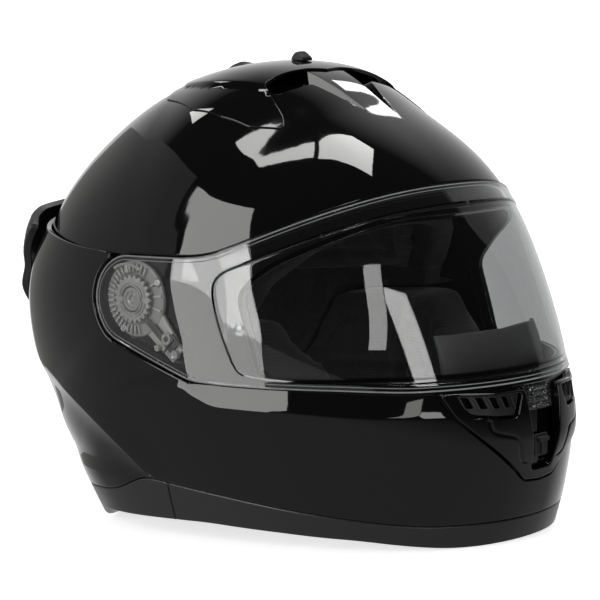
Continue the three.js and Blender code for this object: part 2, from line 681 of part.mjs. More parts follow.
// The hollow in each cheek pad that the strap and its rivet lie in.
function strapChannel(side) {
  const inner = strapInside() - 4;
  const reach = STRAP_WIDTH / 2 + 2;
  const [x0, x1] = side > 0 ? [inner, FAR] : [-FAR, -inner];
  return box(x0, x1, STRAP_Y - reach, STRAP_Y + reach, 0, PIVOT_Z + ANCHOR_V + 12);
}

const pinRod = (radius, y0, y1) => {
  const rod = new THREE.CylinderGeometry(radius, radius, y1 - y0, 20);
  return solidOf(rod.translate(LEVER_PIN.x, (y0 + y1) / 2, LEVER_PIN.z));
};

function buckleBody() {
  const { x0, x1, width, floor, plate, wall, top } = BUCKLE;
  const y0 = STRAP_Y - width / 2;
  const y1 = STRAP_Y + width / 2;
  const base = box(x0, x1, y0, y1, floor, floor + plate);
  const walls = [y0, y1 - wall].map((y) => box(x0 + 8, x1, y, y + wall, floor, top));
  return cut(union(base, ...walls), pinRod(LEVER_PIN.radius + 0.1, y0 - 1, y1 + 1));
}

function bucklePin() {
  return pinRod(LEVER_PIN.radius, STRAP_Y - BUCKLE.width / 2, STRAP_Y + BUCKLE.width / 2);
}

// The lever that lifts the pawl off the tongue's teeth.
function buckleLever() {
  const half = BUCKLE.width / 2 - BUCKLE.wall - 0.4;
  const outline = [
    [26.4, 9.6], [26.4, 12.6], [22, 13.8], [-2, 13.8], [-9, 15.2], [-9, 13.6], [-2, 12], [4, 12], [6, 9.9],
    [9, 11.6], [21, 9.6],
  ];
  const prism = extruded(outline, 2 * half);
  const lever = solidOf(prism.applyMatrix4(FRONT_VIEW).translate(0, STRAP_Y + half, 0));
  return cut(lever, pinRod(LEVER_PIN.radius + 0.08, STRAP_Y - 20, STRAP_Y + 20));
}

function ratchetTongue() {
  const { x0, x1, width, z, thickness } = TONGUE;
  const outline = [[x0, z], [x1, z], [x1, z + thickness]];
  const pitch = 3;
  for (let x = x1 - 4; x > -6; x -= pitch) outline.push([x, z + thickness + 0.9], [x, z + thickness]);
  outline.push([x0, z + thickness]);
  const prism = extruded(outline, width);
  return solidOf(prism.applyMatrix4(FRONT_VIEW).translate(0, STRAP_Y + width / 2, 0));
}

function buildPieces() {
  const trims = lowerTrims();
  const pieces = {
    outer_shell: outerShell(),
    rear_spoiler: rearSpoiler(),
    lower_trim_front: trims.front,
    lower_trim_rear: trims.rear,
    eyeport_gasket: eyeportGasket(),
    top_vent_fairing: topVentFairing(),
    top_vent_slider: crownSlider(VENT_SLIDER, 2.5),
    sun_visor_slider: crownSlider(SUN_SLIDER, 1),
    chin_vent_housing: chinVentHousing(),
    chin_vent_slider: chinVentSlider(),
    visor: visorShield(),
    visor_lock_tab: visorLockTab(),
    sun_visor: sunVisor(),
    impact_liner: impactLiner(),
    crown_pad: crownPad(),
    neck_roll: neckRoll(),
    chin_liner: chinLiner(),
    breath_deflector: breathDeflector(),
    chin_curtain: chinCurtain(),
    buckle_body: buckleBody(),
    buckle_pin: bucklePin(),
    buckle_lever: buckleLever(),
    ratchet_tongue: ratchetTongue(),
  };
  for (const [name, side] of [["left", 1], ["right", -1]]) {
    pieces[`chin_vent_grille_${name}`] = chinVentGrille(side);
    pieces[`visor_base_${name}`] = visorBase(side);
    pieces[`visor_ratchet_${name}`] = visorRatchet(side);
    pieces[`visor_detent_${name}`] = visorDetent(side);
    pieces[`visor_release_${name}`] = visorRelease(side);
    pieces[`anti_fog_pin_${name}`] = antiFogPin(side);
    BASE_SCREWS.forEach((spot, i) => {
      pieces[`base_screw_${name}_${i + 1}`] = baseScrew(side, spot);
    });
    pieces[`sun_pivot_${name}`] = sunPivot(side);
    pieces[`cheek_pad_${name}`] = cheekPad(side);
    pieces[`chin_strap_${name}`] = chinStrap(side);
    pieces[`strap_rivet_${name}`] = strapRivet(side);
  }
  return pieces;
}

// ---- Finishes: colour, roughness, metalness ----
const FINISHES = {
  gloss_black: [0x0c0c0d, 0.08, 0],
  satin_black: [0x17181a, 0.42, 0],
  matte_black: [0x141416, 0.7, 0],
  clear: [0xdfe4e6, 0.05, 0],
  clear_grey: [0xa9adad, 0.15, 0],
  smoke: [0x1c1f24, 0.06, 0],
  rubber: [0x101010, 0.85, 0],
  steel: [0xb4b4b0, 0.3, 1],
  foam: [0x1b1b1c, 0.95, 0],
  fabric: [0x1d1d20, 0.95, 0],
  webbing: [0x151515, 0.9, 0],
  red: [0x9c1414, 0.5, 0],
};

// The first pattern that fits a piece's name gives its finish.
const FINISH_OF = [
  [/^outer_shell|^chin_vent_housing|fairing/, "gloss_black"],
  [/^rear_spoiler|^lower_trim/, "satin_black"],
  [/slider|grille|release|deflector|^buckle_body/, "matte_black"],
  [/^visor$|lock_tab|anti_fog/, "clear"],
  [/ratchet_left|ratchet_right|visor_base|detent/, "clear_grey"],
  [/^sun_visor/, "smoke"],
  [/gasket/, "rubber"],
  [/screw|rivet|pin|pivot/, "steel"],
  [/liner/, "foam"],
  [/pad|roll|curtain/, "fabric"],
  [/strap/, "webbing"],
  [/lever|tongue/, "red"],
];

function finishFor(name) {
  const [color, roughness, metalness] = FINISHES[FINISH_OF.find(([pattern]) => pattern.test(name))[1]];
  return new THREE.MeshStandardMaterial({ color, roughness, metalness });
}

const group = new THREE.Group();
for (const [name, solid] of Object.entries(buildPieces())) {
  const mesh = new THREE.Mesh(geometryOf(solid), finishFor(name));
  mesh.name = name;
  group.add(mesh);
}

export default group;
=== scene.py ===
import json
import math

import bmesh
import bpy
import numpy as np
from mathutils import Matrix, Vector, geometry

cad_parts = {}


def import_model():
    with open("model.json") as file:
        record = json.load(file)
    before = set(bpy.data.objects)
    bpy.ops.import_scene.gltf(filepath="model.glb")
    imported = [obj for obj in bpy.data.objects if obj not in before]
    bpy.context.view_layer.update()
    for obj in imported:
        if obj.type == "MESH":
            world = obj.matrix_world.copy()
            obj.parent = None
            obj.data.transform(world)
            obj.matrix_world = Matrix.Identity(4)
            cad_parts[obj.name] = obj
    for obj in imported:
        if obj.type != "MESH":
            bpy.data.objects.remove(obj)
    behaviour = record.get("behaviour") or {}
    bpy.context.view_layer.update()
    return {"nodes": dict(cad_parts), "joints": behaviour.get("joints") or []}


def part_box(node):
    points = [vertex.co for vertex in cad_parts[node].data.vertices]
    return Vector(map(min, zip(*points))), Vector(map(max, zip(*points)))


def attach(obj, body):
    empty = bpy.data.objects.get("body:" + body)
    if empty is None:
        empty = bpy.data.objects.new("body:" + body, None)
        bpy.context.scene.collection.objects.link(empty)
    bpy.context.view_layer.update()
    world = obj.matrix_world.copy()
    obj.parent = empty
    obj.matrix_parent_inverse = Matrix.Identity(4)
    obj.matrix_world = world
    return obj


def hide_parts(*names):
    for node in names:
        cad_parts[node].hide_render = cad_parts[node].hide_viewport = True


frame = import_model()
MM = 0.001

# ---- Driving sizes, in millimetres. Front is -Y; u runs back and v runs up from the visor's pivot axis. ----
HINGE = next(joint for joint in frame["joints"] if joint["name"] == "visor_hinge")
PIVOT_Y = HINGE["pos_m"][1] / MM
PIVOT_Z = HINGE["pos_m"][2] / MM
HALF_WIDTH = 117.5
RAISED = 1.5
SIDE_DROP = 3.4
CROWN_DROP = 7
SEAT_DEPTH = 3.1
POCKET_DEPTH = 5.9
SHELL_INSIDE = 6.2
VISOR_OUTSIDE = 0.9
VISOR_THICKNESS = 2.4
MM_PER_DEGREE = 2.3  # the surface's average scale, for distances between directions

# The base surface: its radius in the middle plane and its squareness, by degrees up from the front.
PROFILE = [
    (-90, 214), (-55, 231), (-28, 201.5), (0, 162), (25, 140), (50, 124.5), (75, 125),
    (100, 118.5), (130, 118.5), (160, 131.5), (180, 145), (200, 149), (218, 147), (236, 150),
]
SQUARENESS = [
    (-80, 2.25), (-10, 2.2), (40, 2.45), (100, 2.22), (170, 2.26), (210, 2.3), (235, 2.8),
]


# ---- Numbers ----
def closed_curve(keys):
    """A smooth closed curve through (degrees, value) keys, as a function of degrees."""
    x = np.array([k[0] for k in keys], float)
    y = np.array([k[1] for k in keys], float)
    x3 = np.concatenate([x - 360, x, x + 360])
    y3 = np.tile(y, 3)
    slope = np.gradient(y3)
    slope[1:-1] = (y3[2:] - y3[:-2]) / (x3[2:] - x3[:-2])

    def value(degrees):
        a = (np.asarray(degrees, float) - x[0]) % 360 + x[0]
        i = np.searchsorted(x3, a, side="right") - 1
        h = x3[i + 1] - x3[i]
        t = (a - x3[i]) / h
        return (
            y3[i] * (1 + 2 * t) * (1 - t) ** 2
            + y3[i + 1] * t * t * (3 - 2 * t)
            + slope[i] * h * t * (1 - t) ** 2
            - slope[i + 1] * h * t * t * (1 - t)
        )

    return value


profile = closed_curve(PROFILE)
squareness = closed_curve(SQUARENESS)


def ramp(x, start, end):
    """0 before start, 1 after end, smooth between."""
    t = np.clip((np.asarray(x, float) - start) / (end - start), 0, 1)
    return t * t * (3 - 2 * t)


def fall(x, start, end):
    """1 before start, 0 after end, smooth between."""
    return 1 - ramp(x, start, end)


def wrapped(alpha):
    """Degrees brought into 0 to 360."""
    return np.asarray(alpha) % 360


# ---- The surface. A direction is q = (back, up) in degrees from the +X axis: the middle plane is at 90. ----
def polar(q):
    """A direction's distance from the middle of the q plane and its angle there, in degrees."""
    rho = np.hypot(q[:, 0], q[:, 1])
    alpha = np.degrees(np.arctan2(q[:, 1], -q[:, 0]))
    return rho, alpha


def lean(q):
    """1 at the pivots, 0 in the middle plane."""
    return np.abs(np.cos(np.radians(np.hypot(q[:, 0], q[:, 1]))))


def near_pivot(q):
    """1 close round the pivots, 0 elsewhere."""
    return ramp(lean(q), 0.86, 0.93)


def value_of(offset, q):
    """An offset at each direction. It is a function of the direction or one number."""
    return offset(q) if callable(offset) else np.full(len(q), float(offset))


def surface(q, offset):
    """Points in millimetres on the base surface moved out by offset."""
    rho, alpha = polar(q)
    psi = np.radians(90 - rho)
    n = squareness(alpha)
    across = np.abs(np.sin(psi)) / HALF_WIDTH
    along = np.abs(np.cos(psi)) / profile(alpha)
    radius = (across**n + along**n) ** (-1 / n) + value_of(offset, q)
    flat = radius * np.cos(psi)
    a = np.radians(alpha)
    return np.stack(
        [radius * np.sin(psi), PIVOT_Y - flat * np.cos(a), PIVOT_Z + flat * np.sin(a)], 1
    )


def normals(q, offset, step=0.06):
    """Outward unit normals of the same surface, by differences."""
    du = np.array([[step, 0.0]])
    dv = np.array([[0.0, step]])
    along_u = surface(q + du, offset) - surface(q - du, offset)
    along_v = surface(q + dv, offset) - surface(q - dv, offset)
    n = np.cross(along_u, along_v)
    return n / np.linalg.norm(n, axis=1)[:, None]


def direction(points):
    """q of points given in millimetres."""
    x = np.abs(points[:, 0])
    u = points[:, 1] - PIVOT_Y
    v = points[:, 2] - PIVOT_Z
    flat = np.maximum(np.hypot(u, v), 1e-9)
    rho = np.degrees(np.arctan2(flat, x))
    return np.stack([rho * u / flat, rho * v / flat], 1)


def excess(x, u, v):
    """Below 0 inside the base surface, above 0 outside."""
    alpha = np.degrees(np.arctan2(v, -u))
    n = squareness(alpha)
    return (np.abs(x) / HALF_WIDTH) ** n + (np.hypot(u, v) / profile(alpha)) ** n - 1


def solve(evaluate, low, high):
    """Bisection on arrays: evaluate is below 0 at low and above 0 at high."""
    low = np.array(low, float)
    high = np.array(high, float)
    for _ in range(44):
        middle = (low + high) / 2
        inside = evaluate(middle) < 0
        low = np.where(inside, middle, low)
        high = np.where(inside, high, middle)
    return (low + high) / 2


def dense(points, step=0.15):
    """The polyline resampled at a small step."""
    points = np.asarray(points, float)
    lengths = np.hypot(*(points[1:] - points[:-1]).T)
    at = np.concatenate([[0], np.cumsum(lengths)])
    s = np.linspace(0, at[-1], max(int(at[-1] / step), 2) + 1)
    return np.stack([np.interp(s, at, points[:, i]) for i in range(points.shape[1])], 1)


def rounded(points, radius, steps=5, closed=False):
    """A polyline with each corner turned into a curve that starts up to radius before it."""
    points = [np.array(p, float) for p in points]
    count = len(points)
    made = []
    for i, p in enumerate(points):
        if not closed and i in (0, count - 1):
            made.append(p)
            continue
        before = points[i - 1] - p
        after = points[(i + 1) % count] - p
        a = p + before * min(radius / np.linalg.norm(before), 0.48)
        b = p + after * min(radius / np.linalg.norm(after), 0.48)
        for k in range(steps + 1):
            t = k / steps
            made.append((1 - t) ** 2 * a + 2 * t * (1 - t) * p + t * t * b)
    return np.array(made)


def arc(cu, cv, radius, start, end, steps=16):
    """Points on an arc from start to end, in degrees."""
    angles = np.radians(np.linspace(start, end, steps + 1))
    return [(cu + radius * math.cos(a), cv + radius * math.sin(a)) for a in angles]


def resampled(q, step):
    """Directions resampled so that their points on the base surface are about step apart."""
    p = surface(q, 0)
    lengths = np.linalg.norm(p[1:] - p[:-1], axis=1)
    at = np.concatenate([[0], np.cumsum(lengths)])
    s = np.linspace(0, at[-1], max(int(round(at[-1] / step)), 2) + 1)
    even = np.stack([np.interp(s, at, p[:, i]) for i in range(3)], 1)
    made = direction(even)
    made[0] = q[0]
    made[-1] = q[-1]
    return made


def on_middle(q):
    """The same direction pushed onto the middle plane."""
    return q * (90 / np.hypot(q[..., 0:1], q[..., 1:2]))


def side_line(points, step=2.0):
    """A line given in (u, v), laid on the surface. It stops where it reaches the middle plane."""
    fine = dense(points)
    u, v = fine[:, 0], fine[:, 1]
    alpha = np.degrees(np.arctan2(v, -u))
    n = squareness(alpha)
    left = 1 - (np.hypot(u, v) / profile(alpha)) ** n
    inside = left > 0
    first = int(np.argmax(inside))
    last = len(inside) - int(np.argmax(inside[::-1]))
    x = HALF_WIDTH * np.clip(left, 0, 1) ** (1 / n)
    q = direction(np.stack([x, u + PIVOT_Y, v + PIVOT_Z], 1))[first:last]
    if first > 0:
        q[0] = on_middle(q[0])
    if last < len(inside):
        q[-1] = on_middle(q[-1])
    return resampled(q, step)


def placed(x, u, v, step):
    """Directions through points, at even steps. An end on the middle plane stays on it."""
    q = direction(np.stack([x, u + PIVOT_Y, v + PIVOT_Z], 1))
    for end in (0, -1):
        if abs(x[end]) < 1e-6:
            q[end] = on_middle(q[end])
    return resampled(q, step)


def front_line(points, step=2.0):
    """A line given in (x, v), laid on the front of the surface."""
    fine = dense(points)
    x, v = fine[:, 0], fine[:, 1]
    zero = np.zeros(len(x))
    reach = solve(lambda d: excess(x, -d, v), zero, zero + 260)
    return placed(x, -reach, v, step)


def back_line(points, step=2.0):
    """A line given in (x, v), laid on the back of the surface."""
    fine = dense(points)
    x, v = fine[:, 0], fine[:, 1]
    zero = np.zeros(len(x))
    reach = solve(lambda d: excess(x, d, v), zero, zero + 260)
    return placed(x, reach, v, step)


def plan_line(points, step=2.0):
    """A line given in (x, u), laid on the top of the surface."""
    fine = dense(points)
    x, u = fine[:, 0], fine[:, 1]
    zero = np.zeros(len(x))
    height = solve(lambda d: excess(x, u, d), zero, zero + 200)
    return placed(x, u, height, step)


def signed_gap(q, line):
    """Distance in millimetres from a line of directions, above 0 on its left."""
    a = line[:-1]
    b = line[1:]
    d = b - a
    best = np.full(len(q), 1e9)
    side = np.ones(len(q))
    for start in range(0, len(q), 2000):
        part = q[start : start + 2000]
        rel = part[:, None, :] - a[None]
        t = np.clip((rel * d).sum(2) / np.maximum((d * d).sum(1), 1e-12), 0, 1)
        foot = rel - t[..., None] * d
        length = np.hypot(foot[..., 0], foot[..., 1])
        k = length.argmin(1)
        rows = np.arange(len(part))
        best[start : start + 2000] = length[rows, k]
        cross = d[k, 0] * rel[rows, k, 1] - d[k, 1] * rel[rows, k, 0]
        side[start : start + 2000] = np.sign(cross)
    return best * side * MM_PER_DEGREE


def inside_polygon(q, polygon):
    """Whether each direction is inside a polygon."""
    x, y = q[:, 0], q[:, 1]
    inside = np.zeros(len(q), bool)
    previous = polygon[-1]
    for corner in polygon:
        crosses = (corner[1] > y) != (previous[1] > y)
        slope = (previous[0] - corner[0]) / ((previous[1] - corner[1]) or 1e-12)
        inside ^= crosses & (x < slope * (y - corner[1]) + corner[0])
        previous = corner
    return inside


def area_of(polygon):
    """A polygon's area, below 0 when it runs clockwise."""
    x, y = polygon[:, 0], polygon[:, 1]
    return 0.5 * np.sum(x * np.roll(y, -1) - np.roll(x, -1) * y)


# ---- Meshes: a sheet is (points in mm, normals, faces) ----
def merged(sheets):
    """The points, normals and faces of several sheets as one."""
    points, normal, faces, base = [], [], [], 0
    for p, n, f in sheets:
        points.append(p)
        normal.append(n)
        faces += [tuple(i + base for i in face) for face in f]
        base += len(p)
    return np.concatenate(points), np.concatenate(normal), faces


def reflected(sheet):
    """A sheet's mirror image in the middle plane."""
    p, n, f = sheet
    flip = np.array([-1.0, 1.0, 1.0])
    return p * flip, n * flip, [tuple(reversed(face)) for face in f]


def whole(half):
    """A half for x > 0 joined to its mirror image in the middle plane."""
    p, n, faces = half
    seam = np.abs(p[:, 0]) < 1e-4
    p, n = p.copy(), n.copy()
    p[seam, 0] = 0
    n[seam, 0] = 0
    other, other_n, other_f = reflected((p, n, faces))
    target = np.where(seam, np.arange(len(p)), 0)
    free = np.flatnonzero(~seam)
    target[free] = len(p) + np.arange(len(free))
    mirrored = [tuple(int(target[i]) for i in face) for face in other_f]
    return np.concatenate([p, other[free]]), np.concatenate([n, other_n[free]]), list(faces) + mirrored


def linked(name, mesh):
    """A new object in the scene."""
    piece = bpy.data.objects.new(name, mesh)
    bpy.context.scene.collection.objects.link(piece)
    return piece


def mesh_object(name, sheets, material, body, node=None):
    """One object from sheets, shaded with the sheets' own normals."""
    p, n, faces = merged(sheets)
    mesh = bpy.data.meshes.new(name)
    mesh.from_pydata((p * MM).tolist(), [], faces)
    mesh.validate(clean_customdata=False)
    mesh.polygons.foreach_set("use_smooth", [True] * len(mesh.polygons))
    length = np.maximum(np.linalg.norm(n, axis=1), 1e-9)
    mesh.normals_split_custom_set_from_vertices((n / length[:, None]).tolist())
    mesh.materials.append(material)
    piece = linked(name, mesh)
    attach(piece, body)
    if node:
        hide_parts(node)
    return piece


def lattice(low, high, step):
    """Points in offset rows, step apart."""
    rows = np.arange(low[1], high[1] + step, step * math.sqrt(3) / 2)
    grid = []
    for i, y in enumerate(rows):
        xs = np.arange(low[0] + (step / 2) * (i % 2), high[0] + step, step)
        grid.append(np.stack([xs, np.full(len(xs), y)], 1))
    return np.concatenate(grid)


def line_rows(line, gaps):
    """Rows of directions beside a line, at gaps in millimetres."""
    d = np.gradient(line, axis=0)
    d /= np.maximum(np.hypot(d[:, 0], d[:, 1]), 1e-9)[:, None]
    across = np.stack([-d[:, 1], d[:, 0]], 1)
    return [line + across * gap / MM_PER_DEGREE for gap in gaps]


CREASE_GAPS = (-1.9, -1.1, -0.55, -0.2, 0.2, 0.55, 1.1, 1.9)


def triangulated(polygon, holes, spacing, creases, gaps=CREASE_GAPS):
    """Triangles that fill a polygon of directions round its holes, finer beside the creases."""
    step = spacing / MM_PER_DEGREE
    low, high = polygon.min(0), polygon.max(0)
    inner = lattice(low, high, step)
    inner = inner[np.hypot(inner[:, 0], inner[:, 1]) < 90]
    inner = inner[inside_polygon(inner, polygon)]
    ring = np.vstack([polygon, polygon[:1]])
    inner = inner[np.abs(signed_gap(inner, ring)) > spacing * 0.55]
    for hole in holes:
        inner = inner[~inside_polygon(inner, hole)]
        inner = inner[np.abs(signed_gap(inner, np.vstack([hole, hole[:1]]))) > spacing * 0.55]
    for crease in creases:
        clear = max(abs(g) for g in gaps) + spacing * 0.3
        inner = inner[np.abs(signed_gap(inner, crease)) > clear]
    rows = []
    for i, crease in enumerate(creases):
        for row in line_rows(crease, gaps):
            row = row[np.hypot(row[:, 0], row[:, 1]) < 89.9]
            if len(row) == 0:
                continue
            row = row[inside_polygon(row, polygon)]
            if len(row) == 0:
                continue
            row = row[np.abs(signed_gap(row, ring)) > 0.35]
            for hole in holes:
                row = row[~inside_polygon(row, hole)]
                if len(row):
                    row = row[np.abs(signed_gap(row, np.vstack([hole, hole[:1]]))) > 0.35]
            for other in creases[:i]:
                if len(row):
                    row = row[np.abs(signed_gap(row, other)) > max(abs(g) for g in gaps) + 0.3]
            rows.append(row)
    extra = np.concatenate([inner] + rows) if rows else inner
    edges, base = [], 0
    for loop in [polygon, *holes]:
        edges += [(base + i, base + (i + 1) % len(loop)) for i in range(len(loop))]
        base += len(loop)
    points = [Vector(p) for p in np.concatenate([polygon, *holes, extra])]
    made, _, faces, origin, _, _ = geometry.delaunay_2d_cdt(points, edges, [], 0, 1e-5)
    q = np.array([(p[0], p[1]) for p in made])
    centres = np.array([q[list(f)].mean(0) for f in faces])
    keep = inside_polygon(centres, polygon)
    for hole in holes:
        keep &= ~inside_polygon(centres, hole)
    faces = [tuple(f) for f, good in zip(faces, keep) if good]
    place = {}
    for new, old in enumerate(origin):
        for i in old:
            place[i] = new
    border = [place[i] for i in range(base)]
    oriented = []
    for f in faces:
        a, b, c = (q[i] for i in f[:3])
        turn = (b[0] - a[0]) * (c[1] - a[1]) - (b[1] - a[1]) * (c[0] - a[0])
        oriented.append(f if turn > 0 else tuple(reversed(f)))
    return q, oriented, border


def middle_arc(a, b, step):
    """Directions along the middle plane from a to b, ends left out."""
    alpha = np.degrees(np.arctan2([a[1], b[1]], [-a[0], -b[0]]))
    turn = (alpha[1] - alpha[0] + 180) % 360 - 180
    radius = 2 * MM_PER_DEGREE * abs(turn) / 2
    count = max(int(radius / step), 1)
    angles = np.radians(alpha[0] + turn * np.arange(1, count) / count)
    return np.stack([-90 * np.cos(angles), 90 * np.sin(angles)], 1)


def rim_frame(rim, outside, closed):
    """Points, normals and outward directions along a border that has its panel on its left."""
    p = surface(rim, outside)
    n = normals(rim, outside)
    if closed:
        along = np.roll(p, -1, 0) - np.roll(p, 1, 0)
    else:
        along = np.gradient(p, axis=0)
        for end in (0, -1):
            n[end, 0] = 0
            along[end] = (math.copysign(1, along[end, 0]), 0, 0)
    out = np.cross(along, n)
    out /= np.linalg.norm(out, axis=1)[:, None]
    n /= np.linalg.norm(n, axis=1)[:, None]
    return p, n, out


def half_panel(rims, outside, thickness, edge=1.0, under=0.4, spacing=4.0, creases=(), steps=4,
               closed=False, lining=True, gaps=CREASE_GAPS, holes=()):
    """Half of a curved panel. Its rims are lines of directions that join along the middle plane.
    The border is rounded by edge, and its wall is thickness deep. A hole is a closed line of directions."""
    def outline_of(lines):
        if closed:
            return lines[0]
        return np.concatenate([
            np.vstack([line, middle_arc(line[-1], lines[(i + 1) % len(lines)][0], spacing)])
            for i, line in enumerate(lines)])

    if closed and np.allclose(rims[0][0], rims[0][-1]):
        rims = [rims[0][:-1]]
    if area_of(outline_of(rims)) < 0:
        rims = [rim[::-1] for rim in reversed(rims)]
    borders = []
    for rim in rims:
        borders.append((rim, *rim_frame(rim, outside, closed), closed))
    for hole in holes:
        hole = hole[:-1] if np.allclose(hole[0], hole[-1]) else hole
        hole = hole if area_of(hole) < 0 else hole[::-1]
        borders.append((hole, *rim_frame(hole, outside, True), True))
    insets = []
    for rim, p, n, out, loop in borders:
        inset = direction(p - out * edge)
        if not loop:
            inset[0] = on_middle(inset[0])
            inset[-1] = on_middle(inset[-1])
        insets.append(inset)
    outer = insets[: len(rims)]
    polygon = outline_of(outer)
    spans, start = [], 0
    for i, inset in enumerate(outer):
        spans.append(start)
        start += len(inset)
        if not closed:
            start += len(middle_arc(inset[-1], outer[(i + 1) % len(outer)][0], spacing))
    for inset in insets[len(rims):]:
        spans.append(start)
        start += len(inset)
    q, faces, border = triangulated(polygon, insets[len(rims):], spacing, creases, gaps)
    top = surface(q, outside)
    top_n = normals(q, outside)
    seam = np.hypot(q[:, 0], q[:, 1]) > 89.999
    top[seam, 0] = 0
    top_n[seam, 0] = 0
    points, normal, made = [top], [top_n], list(faces)
    base = len(top)
    if lining:
        points.append(top - top_n * value_of(thickness, q)[:, None])
        normal.append(-top_n)
        made += [tuple(i + base for i in reversed(f)) for f in faces]
        base += len(top)
    for first, (rim, p, n, out, loop) in zip(spans, borders):
        count = len(rim)
        deep = value_of(thickness, rim)[:, None]
        rows = []
        for k in range(1, steps + 1):
            a = math.pi / 2 * k / steps
            rows.append((p - out * edge * (1 - math.sin(a)) - n * edge * (1 - math.cos(a)),
                         out * math.sin(a) + n * math.cos(a)))
        rows.append((p - n * (deep - under), out))
        if lining:
            for k in range(1, 3):
                a = math.pi / 2 * k / 2
                rows.append((p - n * (deep - under + under * math.sin(a)) - out * under * (1 - math.cos(a)),
                             out * math.cos(a) - n * math.sin(a)))
        loops = [border[first : first + count]]
        for row, row_n in rows:
            if not loop:
                row[0, 0] = row[-1, 0] = 0
            points.append(row)
            normal.append(row_n)
            loops.append(list(range(base, base + count)))
            base += count
        if lining:
            loops.append([i + len(top) for i in border[first : first + count]])
        for upper, lower in zip(loops, loops[1:]):
            for k in range(count if loop else count - 1):
                j = (k + 1) % count
                made.append((upper[k], lower[k], lower[j], upper[j]))
    return np.concatenate(points), np.concatenate(normal), made


def joined(*lines, step=2.0):
    """Lines of directions put end to end."""
    return resampled(np.concatenate(lines), step)


# ---- Materials ----
def shader(name):
    """A new node material, its node tree and its output node."""
    material = bpy.data.materials.new(name)
    material.use_nodes = True
    tree = material.node_tree
    tree.nodes.clear()
    output = tree.nodes.new("ShaderNodeOutputMaterial")
    return material, tree, output


def add_node(tree, kind, **values):
    """A shader node with its inputs and properties set. A socket as a value is linked."""
    node = tree.nodes.new(kind)
    for key, value in values.items():
        if key.startswith("p_"):
            setattr(node, key[2:], value)
            continue
        socket = node.inputs[key.replace("_", " ")] if isinstance(key, str) else node.inputs[key]
        if isinstance(value, bpy.types.NodeSocket):
            tree.links.new(value, socket)
        else:
            socket.default_value = value
    return node


def on_object(tree):
    """The place on the object that a pattern is laid by."""
    return add_node(tree, "ShaderNodeTexCoord").outputs["Object"]


def noise(tree, scale, detail=4.0, roughness=0.55):
    """Cloudy noise over the object, as a socket."""
    place = on_object(tree)
    node = add_node(tree, "ShaderNodeTexNoise", Scale=scale, Detail=detail, Roughness=roughness, Vector=place)
    return node.outputs["Fac"]


def spread(tree, value, low, high, start=0.0, end=1.0):
    """value, from start to end, brought to low to high."""
    node = add_node(tree, "ShaderNodeMapRange", Value=value, From_Min=start, From_Max=end, To_Min=low,
                    To_Max=high)
    return node.outputs["Result"]


def arithmetic(tree, operation, a, b):
    """A maths operation on two sockets."""
    node = add_node(tree, "ShaderNodeMath", p_operation=operation)
    tree.links.new(a, node.inputs[0])
    tree.links.new(b, node.inputs[1])
    return node.outputs[0]


def blended(tree, factor, a, b):
    """A colour between a and b. a can be another colour's socket."""
    node = add_node(tree, "ShaderNodeMix", p_data_type="RGBA", Factor=factor)
    if isinstance(a, bpy.types.NodeSocket):
        tree.links.new(a, node.inputs[6])
    else:
        node.inputs[6].default_value = (*a, 1)
    node.inputs[7].default_value = (*b, 1)
    return node.outputs[2]


def scaled(colour, share):
    """A colour with its red, green and blue multiplied."""
    return tuple(c * share for c in colour)


def bumped(tree, height, strength, distance):
    """A normal's socket, bumped by a height socket."""
    node = add_node(tree, "ShaderNodeBump", Strength=strength, Distance=distance, Height=height)
    return node.outputs["Normal"]


def mixed(tree, factor, a, b):
    """The shader a where factor is 0 and b where it is 1."""
    node = add_node(tree, "ShaderNodeMixShader", Fac=factor)
    tree.links.new(a.outputs[0], node.inputs[1])
    tree.links.new(b.outputs[0], node.inputs[2])
    return node


def surfaced(tree, output, node):
    """Links a shader to the output."""
    tree.links.new(node.outputs[0], output.inputs["Surface"])


def plastic(name, colour, roughness, grain, grain_size=0.4, mottle=0.25, wear=0.0):
    """Moulded plastic: mottled colour, uneven gloss, moulded grain and paler worn edges."""
    material, tree, output = shader(name)
    fine = noise(tree, 1000.0 / grain_size, 2.0)
    tone = blended(tree, noise(tree, 22.0, 3.0), scaled(colour, 1 - mottle), scaled(colour, 1 + mottle))
    if wear:
        edges = add_node(tree, "ShaderNodeNewGeometry").outputs["Pointiness"]
        worn = spread(tree, edges, 0.0, wear, 0.52, 0.60)
        tone = blended(tree, worn, tone, tuple(min(c * 3 + 0.03, 1) for c in colour))
    gloss = spread(tree, noise(tree, 60.0, 5.0), roughness * 0.8, roughness * 1.25)
    surfaced(tree, output, add_node(tree, "ShaderNodeBsdfPrincipled", Base_Color=tone, Roughness=gloss,
                                    Normal=bumped(tree, fine, grain, 0.0002)))
    return material


def lacquer(name):
    """Black lacquer with a clear coat: a mirror with the faintest orange peel and a few flecks of dust."""
    material, tree, output = shader(name)
    peel = bumped(tree, noise(tree, 260.0, 1.0, 0.4), 0.012, 0.0004)
    flecks = add_node(tree, "ShaderNodeTexVoronoi", Scale=900.0, Vector=on_object(tree))
    dust = spread(tree, flecks.outputs["Distance"], 1.0, 0.0, 0.0, 0.05)
    tone = blended(tree, dust, (0.0028, 0.0028, 0.003), (0.012, 0.012, 0.012))
    haze = spread(tree, noise(tree, 35.0, 6.0), 0.012, 0.05)
    surfaced(tree, output, add_node(tree, "ShaderNodeBsdfPrincipled", Base_Color=tone, Roughness=haze,
                                    Normal=peel, IOR=1.5))
    return material


